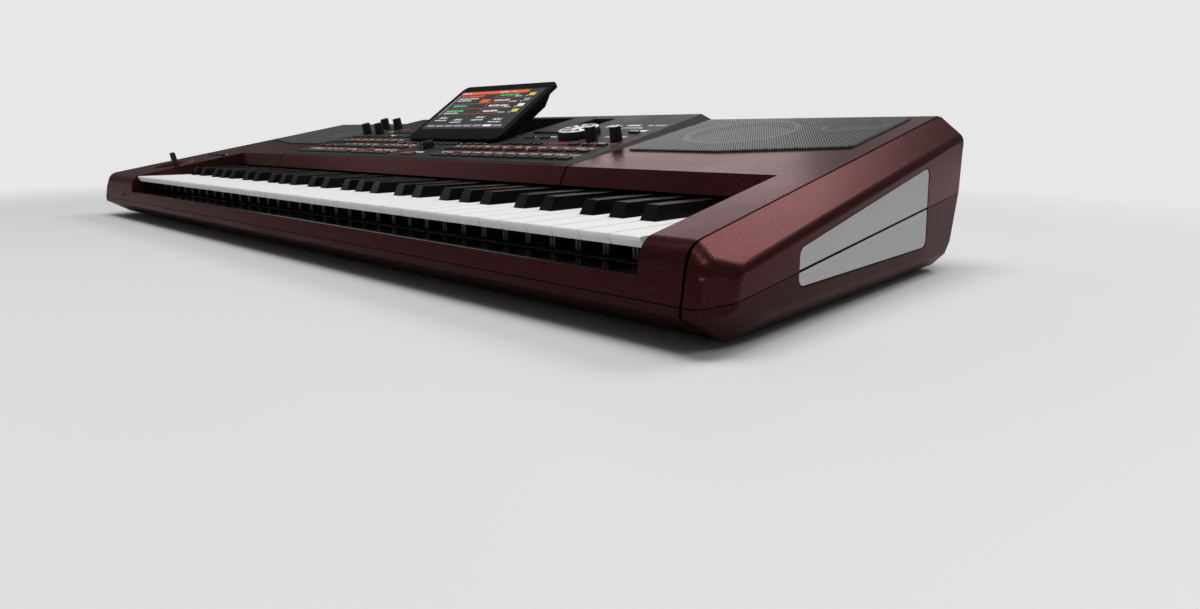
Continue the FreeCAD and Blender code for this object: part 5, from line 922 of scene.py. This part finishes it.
# Painted shadow: the faces of the rolled rim get the black material.
rim_faces = bands(len(RIM_STEPS), len(starts), len(flat))
rim_shadow_marks = [0] * len(webs) + [1] * len(rim_faces)
sheet_points = np.column_stack([np.concatenate([flat, rim]), np.concatenate([heights, rim_heights])])
for name, side in (("right_grille", 1), ("left_grille", -1)):
    points = at(DECK, sheet_points * (side, 1, 1))
    sheet = add_piece(name + "_mesh", points, webs + rim_faces, [grille_paint, rim_painted_shadow_black], "case",
                      rim_shadow_marks, crease=60)
    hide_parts(name)

# Rear plate: zinc-plated sheet behind an opening of the rear wall, with the sockets fixed to it.
# The sockets, the mains inlet and the rocker are moulded in black; steel nuts hold the jacks.
socket_black = moulding("socket_black", paint(0.01, 0.01, 0.0105), paint(0.02, 0.02, 0.021), 0.35, 0.5, 900.0,
                        0.00005)
dress(socket_black, "audio_jacks", "data_sockets", "mains_inlet", "power_switch", "headphone_jack")

# Contacts: nickel bushes in the jacks, the shields and contacts of the round sockets, the inlet's blades.
# Turned or stamped from plated brass and screwed or pressed in; the headphone bush in front is black plastic.
nickel = metal("bright_nickel", paint(0.5, 0.49, 0.47), paint(0.66, 0.65, 0.63), 0.2, 0.34,
               (300.0, 300.0, 300.0), 0.00003)
PLATE_MIDDLE = (0, 0.184016, 0.091)
REAR_PLATE = Matrix.Translation(PLATE_MIDDLE) @ Matrix.Rotation(-math.pi / 2, 4, "X")
BUSH = [(0.0033, 0.0010), (0.0033, 0.0019), (0.0036, 0.0022), (0.0046, 0.0022), (0.0049, 0.0019),
        (0.0049, 0.0010), (0.0033, 0.0010)]
PHONES_BUSH = [(radius, height - BUSH[0][1]) for radius, height in BUSH]
SHIELD = [(0.0066, -0.0119), (0.0066, -0.0004), (0.0069, -0.0004), (0.0069, -0.0119), (0.0066, -0.0119)]
CONTACT = [(0.0006, -0.0118), (0.0006, -0.0085), (0.0008, -0.0083), (0.0010, -0.0085), (0.0010, -0.0118),
           (0.0006, -0.0118)]
CONTACT_CIRCLE = 0.0045
BLADE_PLACES = ((-0.007, 0.002), (0.007, 0.002), (0.0, -0.002))
BLADE, TONGUE = (0.002, 0.0042, -0.0168, -0.006, 0.0005), (0.0056, 0.0032, -0.0168, -0.0025, 0.0003)


def sockets_of(name):
    """The middles of a node's sockets on the rear plate."""
    return [((low + high) / 2).xy.to_3d() for low, high in solids_of(name, REAR_PLATE)]


def on_plate(middles):
    return [REAR_PLATE @ Matrix.Translation(middle) for middle in middles]


add_rings("jack_bushes", on_plate(sockets_of("audio_jacks")), BUSH, 48, nickel)
phones_low, phones_high = [Vector(corner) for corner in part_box("headphone_jack")]
phones = (phones_low + phones_high) / 2
phones.y = phones_low.y
phones_front = Matrix.Translation(phones) @ Matrix.Rotation(math.pi / 2, 4, "X")
add_rings("headphone_bush", [phones_front], PHONES_BUSH, 48, socket_black)
sockets = sorted(sockets_of("data_sockets"), key=lambda middle: middle.x)
round_places = on_plate(sockets[:2])
add_rings("round_socket_shields", round_places, SHIELD, 48, nickel)
contacts = []
for place in round_places:
    for angle in np.radians(range(0, 181, 45)):
        spot = (CONTACT_CIRCLE * math.cos(angle), -CONTACT_CIRCLE * math.sin(angle), 0.0)
        contacts.append(place @ Matrix.Translation(spot))
add_rings("round_socket_contacts", contacts, CONTACT, 16, nickel)
inlet = sockets_of("mains_inlet")[0]
blades = [(inlet.x + x, inlet.y + y, *BLADE) for x, y in BLADE_PLACES]
add_pillows("inlet_blades", blades, REAR_PLATE, [nickel], "case")
tongue = (*sockets[2].xy, *TONGUE)
add_pillows("square_socket_tongue", [tongue], REAR_PLATE, [socket_black], "case")

# Plate screws: four pan-head screws with cross recesses, which hold the rear plate to the case.
# Turned from steel and zinc plated.
SCREW_HEAD = [(0.0030, 0.0), (0.0030, 0.0004), (0.0027, 0.0009), (0.0020, 0.0013), (0.0010, 0.0015),
              (0.0, 0.0015)]
SCREW_LEFT, SCREW_RIGHT, SCREW_OFF = -0.169, 0.1718, 0.0115
RECESS_LONG, RECESS_WIDE, RECESS_HEIGHT = 0.0019, 0.0005, 0.00153
heads = [(x, y, 0.0) for x in (SCREW_LEFT, SCREW_RIGHT) for y in (-SCREW_OFF, SCREW_OFF)]
add_rings("plate_screws", on_plate(heads), SCREW_HEAD, 32, zinc)
arm = (RECESS_LONG - RECESS_WIDE) / 2
recesses = []
for x, y, _ in heads:
    recesses.append(bar(x, y, RECESS_LONG, RECESS_WIDE))
    recesses += [bar(x, y + way * (RECESS_WIDE + arm) / 2, RECESS_WIDE, arm) for way in (1, -1)]
add_marks("plate_screw_recesses", recesses, REAR_PLATE, RECESS_HEIGHT, socket_black, "case")

# Boards and power supply: solder-masked laminate on standoffs, and a folded sheet box over the supply.
# They are inside the case and show only when it is opened.
laminate, tree, shader = new_finish("board_laminate", Metallic=0.0)
tracks = put(tree, "TexVoronoi", Vector=object_place(tree), Scale=140.0,
             settings={"feature": "DISTANCE_TO_EDGE", "distance": "EUCLIDEAN"})
tracks = spread(tree, tracks.outputs["Distance"], 0.02, 0.05, 1.0, 0.0)
wire(tree, shader, Roughness=spread(tree, tracks, 0.0, 1.0, 0.28, 0.4),
     Base_Color=mix_colours(tree, tracks, paint(0.01, 0.075, 0.03), paint(0.03, 0.16, 0.07)))
dress(laminate, "main_board", "panel_board", "key_contact_board")
supply_sheet = metal("supply_sheet", paint(0.4, 0.4, 0.41), paint(0.52, 0.52, 0.53), 0.3, 0.45,
                     (60.0, 700.0, 700.0), 0.00005)
dress(supply_sheet, "power_supply")

# Feet and bottom screws: moulded rubber discs glued on the tray, and blackened pan-head screws.
# The screws sit in counterbores and hold the tray to the upper case.
dress(rubber, "rubber_feet")
black_screw = metal("blackened_screw", paint(0.03, 0.03, 0.031), paint(0.055, 0.055, 0.057), 0.3, 0.45,
                    (400.0, 400.0, 400.0), 0.00004)
dress(black_screw, "case_screws")

# Studio: a plain pale floor that fades into a pale surround.
# Soft boxes hang above, behind and at the sides; two low ones far behind skim over the decks and the keys.
BACKDROP = paint(0.8, 0.8, 0.81)
FLOOR_RADIUS, FADE_NEAR, FADE_FAR, WORLD_STRENGTH = 9, 0.62, 1.3, 0.17
floor_mesh = bpy.data.meshes.new("floor")
floor_edge = [(FLOOR_RADIUS * math.cos(angle), FLOOR_RADIUS * math.sin(angle), 0.0)
              for angle in np.radians(np.arange(0, 360, 3))]
floor_mesh.from_pydata(floor_edge, [], [tuple(range(len(floor_edge)))])
floor = bpy.data.objects.new("floor", floor_mesh)
bpy.context.scene.collection.objects.link(floor)
floor_paint, tree, shader = new_finish("floor_paint", Base_Color=paint(0.8, 0.8, 0.805), Roughness=0.5,
                                       Specular_IOR_Level=0.3)
reach = put(tree, "VectorMath", object_place(tree), settings={"operation": "LENGTH"}).outputs["Value"]
fade = put(tree, "MapRange", reach, FADE_NEAR, FADE_FAR, 0.0, 1.0,
           settings={"interpolation_type": "SMOOTHSTEP"}).outputs[0]
rays = put(tree, "LightPath").outputs
seen = reckon(tree, "MAXIMUM", rays["Is Camera Ray"], rays["Is Glossy Ray"])
seen = reckon(tree, "MAXIMUM", seen, rays["Is Transmission Ray"])
pale = put(tree, "Emission", BACKDROP, 1.0).outputs[0]
painted = tree.nodes["Principled BSDF"].outputs[0]
both = put(tree, "MixShader", reckon(tree, "MULTIPLY", fade, seen), painted, pale).outputs[0]
wire(tree, tree.nodes["Material Output"].inputs, Surface=both)
floor_mesh.materials.append(floor_paint)

world = bpy.data.worlds.new("surround")
bpy.context.scene.world = world
world.use_nodes = True
tree = world.node_tree
lighting = tree.nodes["Background"]
wire(tree, lighting.inputs, Color=BACKDROP, Strength=WORLD_STRENGTH)
rays = put(tree, "LightPath").outputs
seen = reckon(tree, "MAXIMUM", rays["Is Camera Ray"], rays["Is Transmission Ray"])
plain = put(tree, "Background", BACKDROP, 1.0).outputs[0]
both = put(tree, "MixShader", seen, lighting.outputs[0], plain).outputs[0]
wire(tree, tree.nodes["World Output"].inputs, Surface=both)


def soft_box(name, place, aim, wide, high, watts):
    lamp = bpy.data.lights.new(name, "AREA")
    lamp.shape = "RECTANGLE"
    lamp.size, lamp.size_y, lamp.energy = wide, high, watts
    stand = bpy.data.objects.new(name, lamp)
    stand.location = place
    stand.rotation_euler = (Vector(aim) - Vector(place)).to_track_quat("-Z", "Y").to_euler()
    stand.visible_camera = False
    bpy.context.scene.collection.objects.link(stand)


soft_box("top_box", (0.1, -0.15, 2.2), (0.0, -0.05, 0.1), 1.9, 0.8, 29)
soft_box("back_box", (1.1, 1.9, 2.2), (0.4, 0.0, 0.1), 1.3, 0.9, 25)
soft_box("far_box", (-1.3, 2.12, 1.19), (0.35, 0.0, 0.1), 1.05, 0.7, 4.1)
soft_box("far_right_box", (-0.5, 2.45, 1.19), (0.4, 0.0, 0.1), 0.8, 0.7, 0.6)
soft_box("right_box", (1.75, -0.85, 2.3), (0.5, 0.0, 0.1), 0.8, 0.8, 11)
soft_box("left_box", (-2.4, -0.6, 1.7), (-0.2, 0.0, 0.1), 1.2, 1.2, 5)

# Camera: close to the right front corner and low, as in the photograph.
# A wide lens, level to within a few degrees, with a small shift for the framing.
CAMERA_PLACE, CAMERA_LOOK = (0.70794, -0.48184, 0.11394), (-0.6585, 0.7238, -0.2054)
lens = bpy.data.cameras.new("camera")
lens.lens, lens.sensor_width, lens.shift_y, lens.clip_start = 21.87, 36.0, -0.0153, 0.01
camera = bpy.data.objects.new("camera", lens)
camera.location = CAMERA_PLACE
camera.rotation_euler = Vector(CAMERA_LOOK).to_track_quat("-Z", "Y").to_euler()
bpy.context.scene.collection.objects.link(camera)
bpy.context.scene.camera = camera
bpy.context.scene.view_settings.view_transform = "Standard"
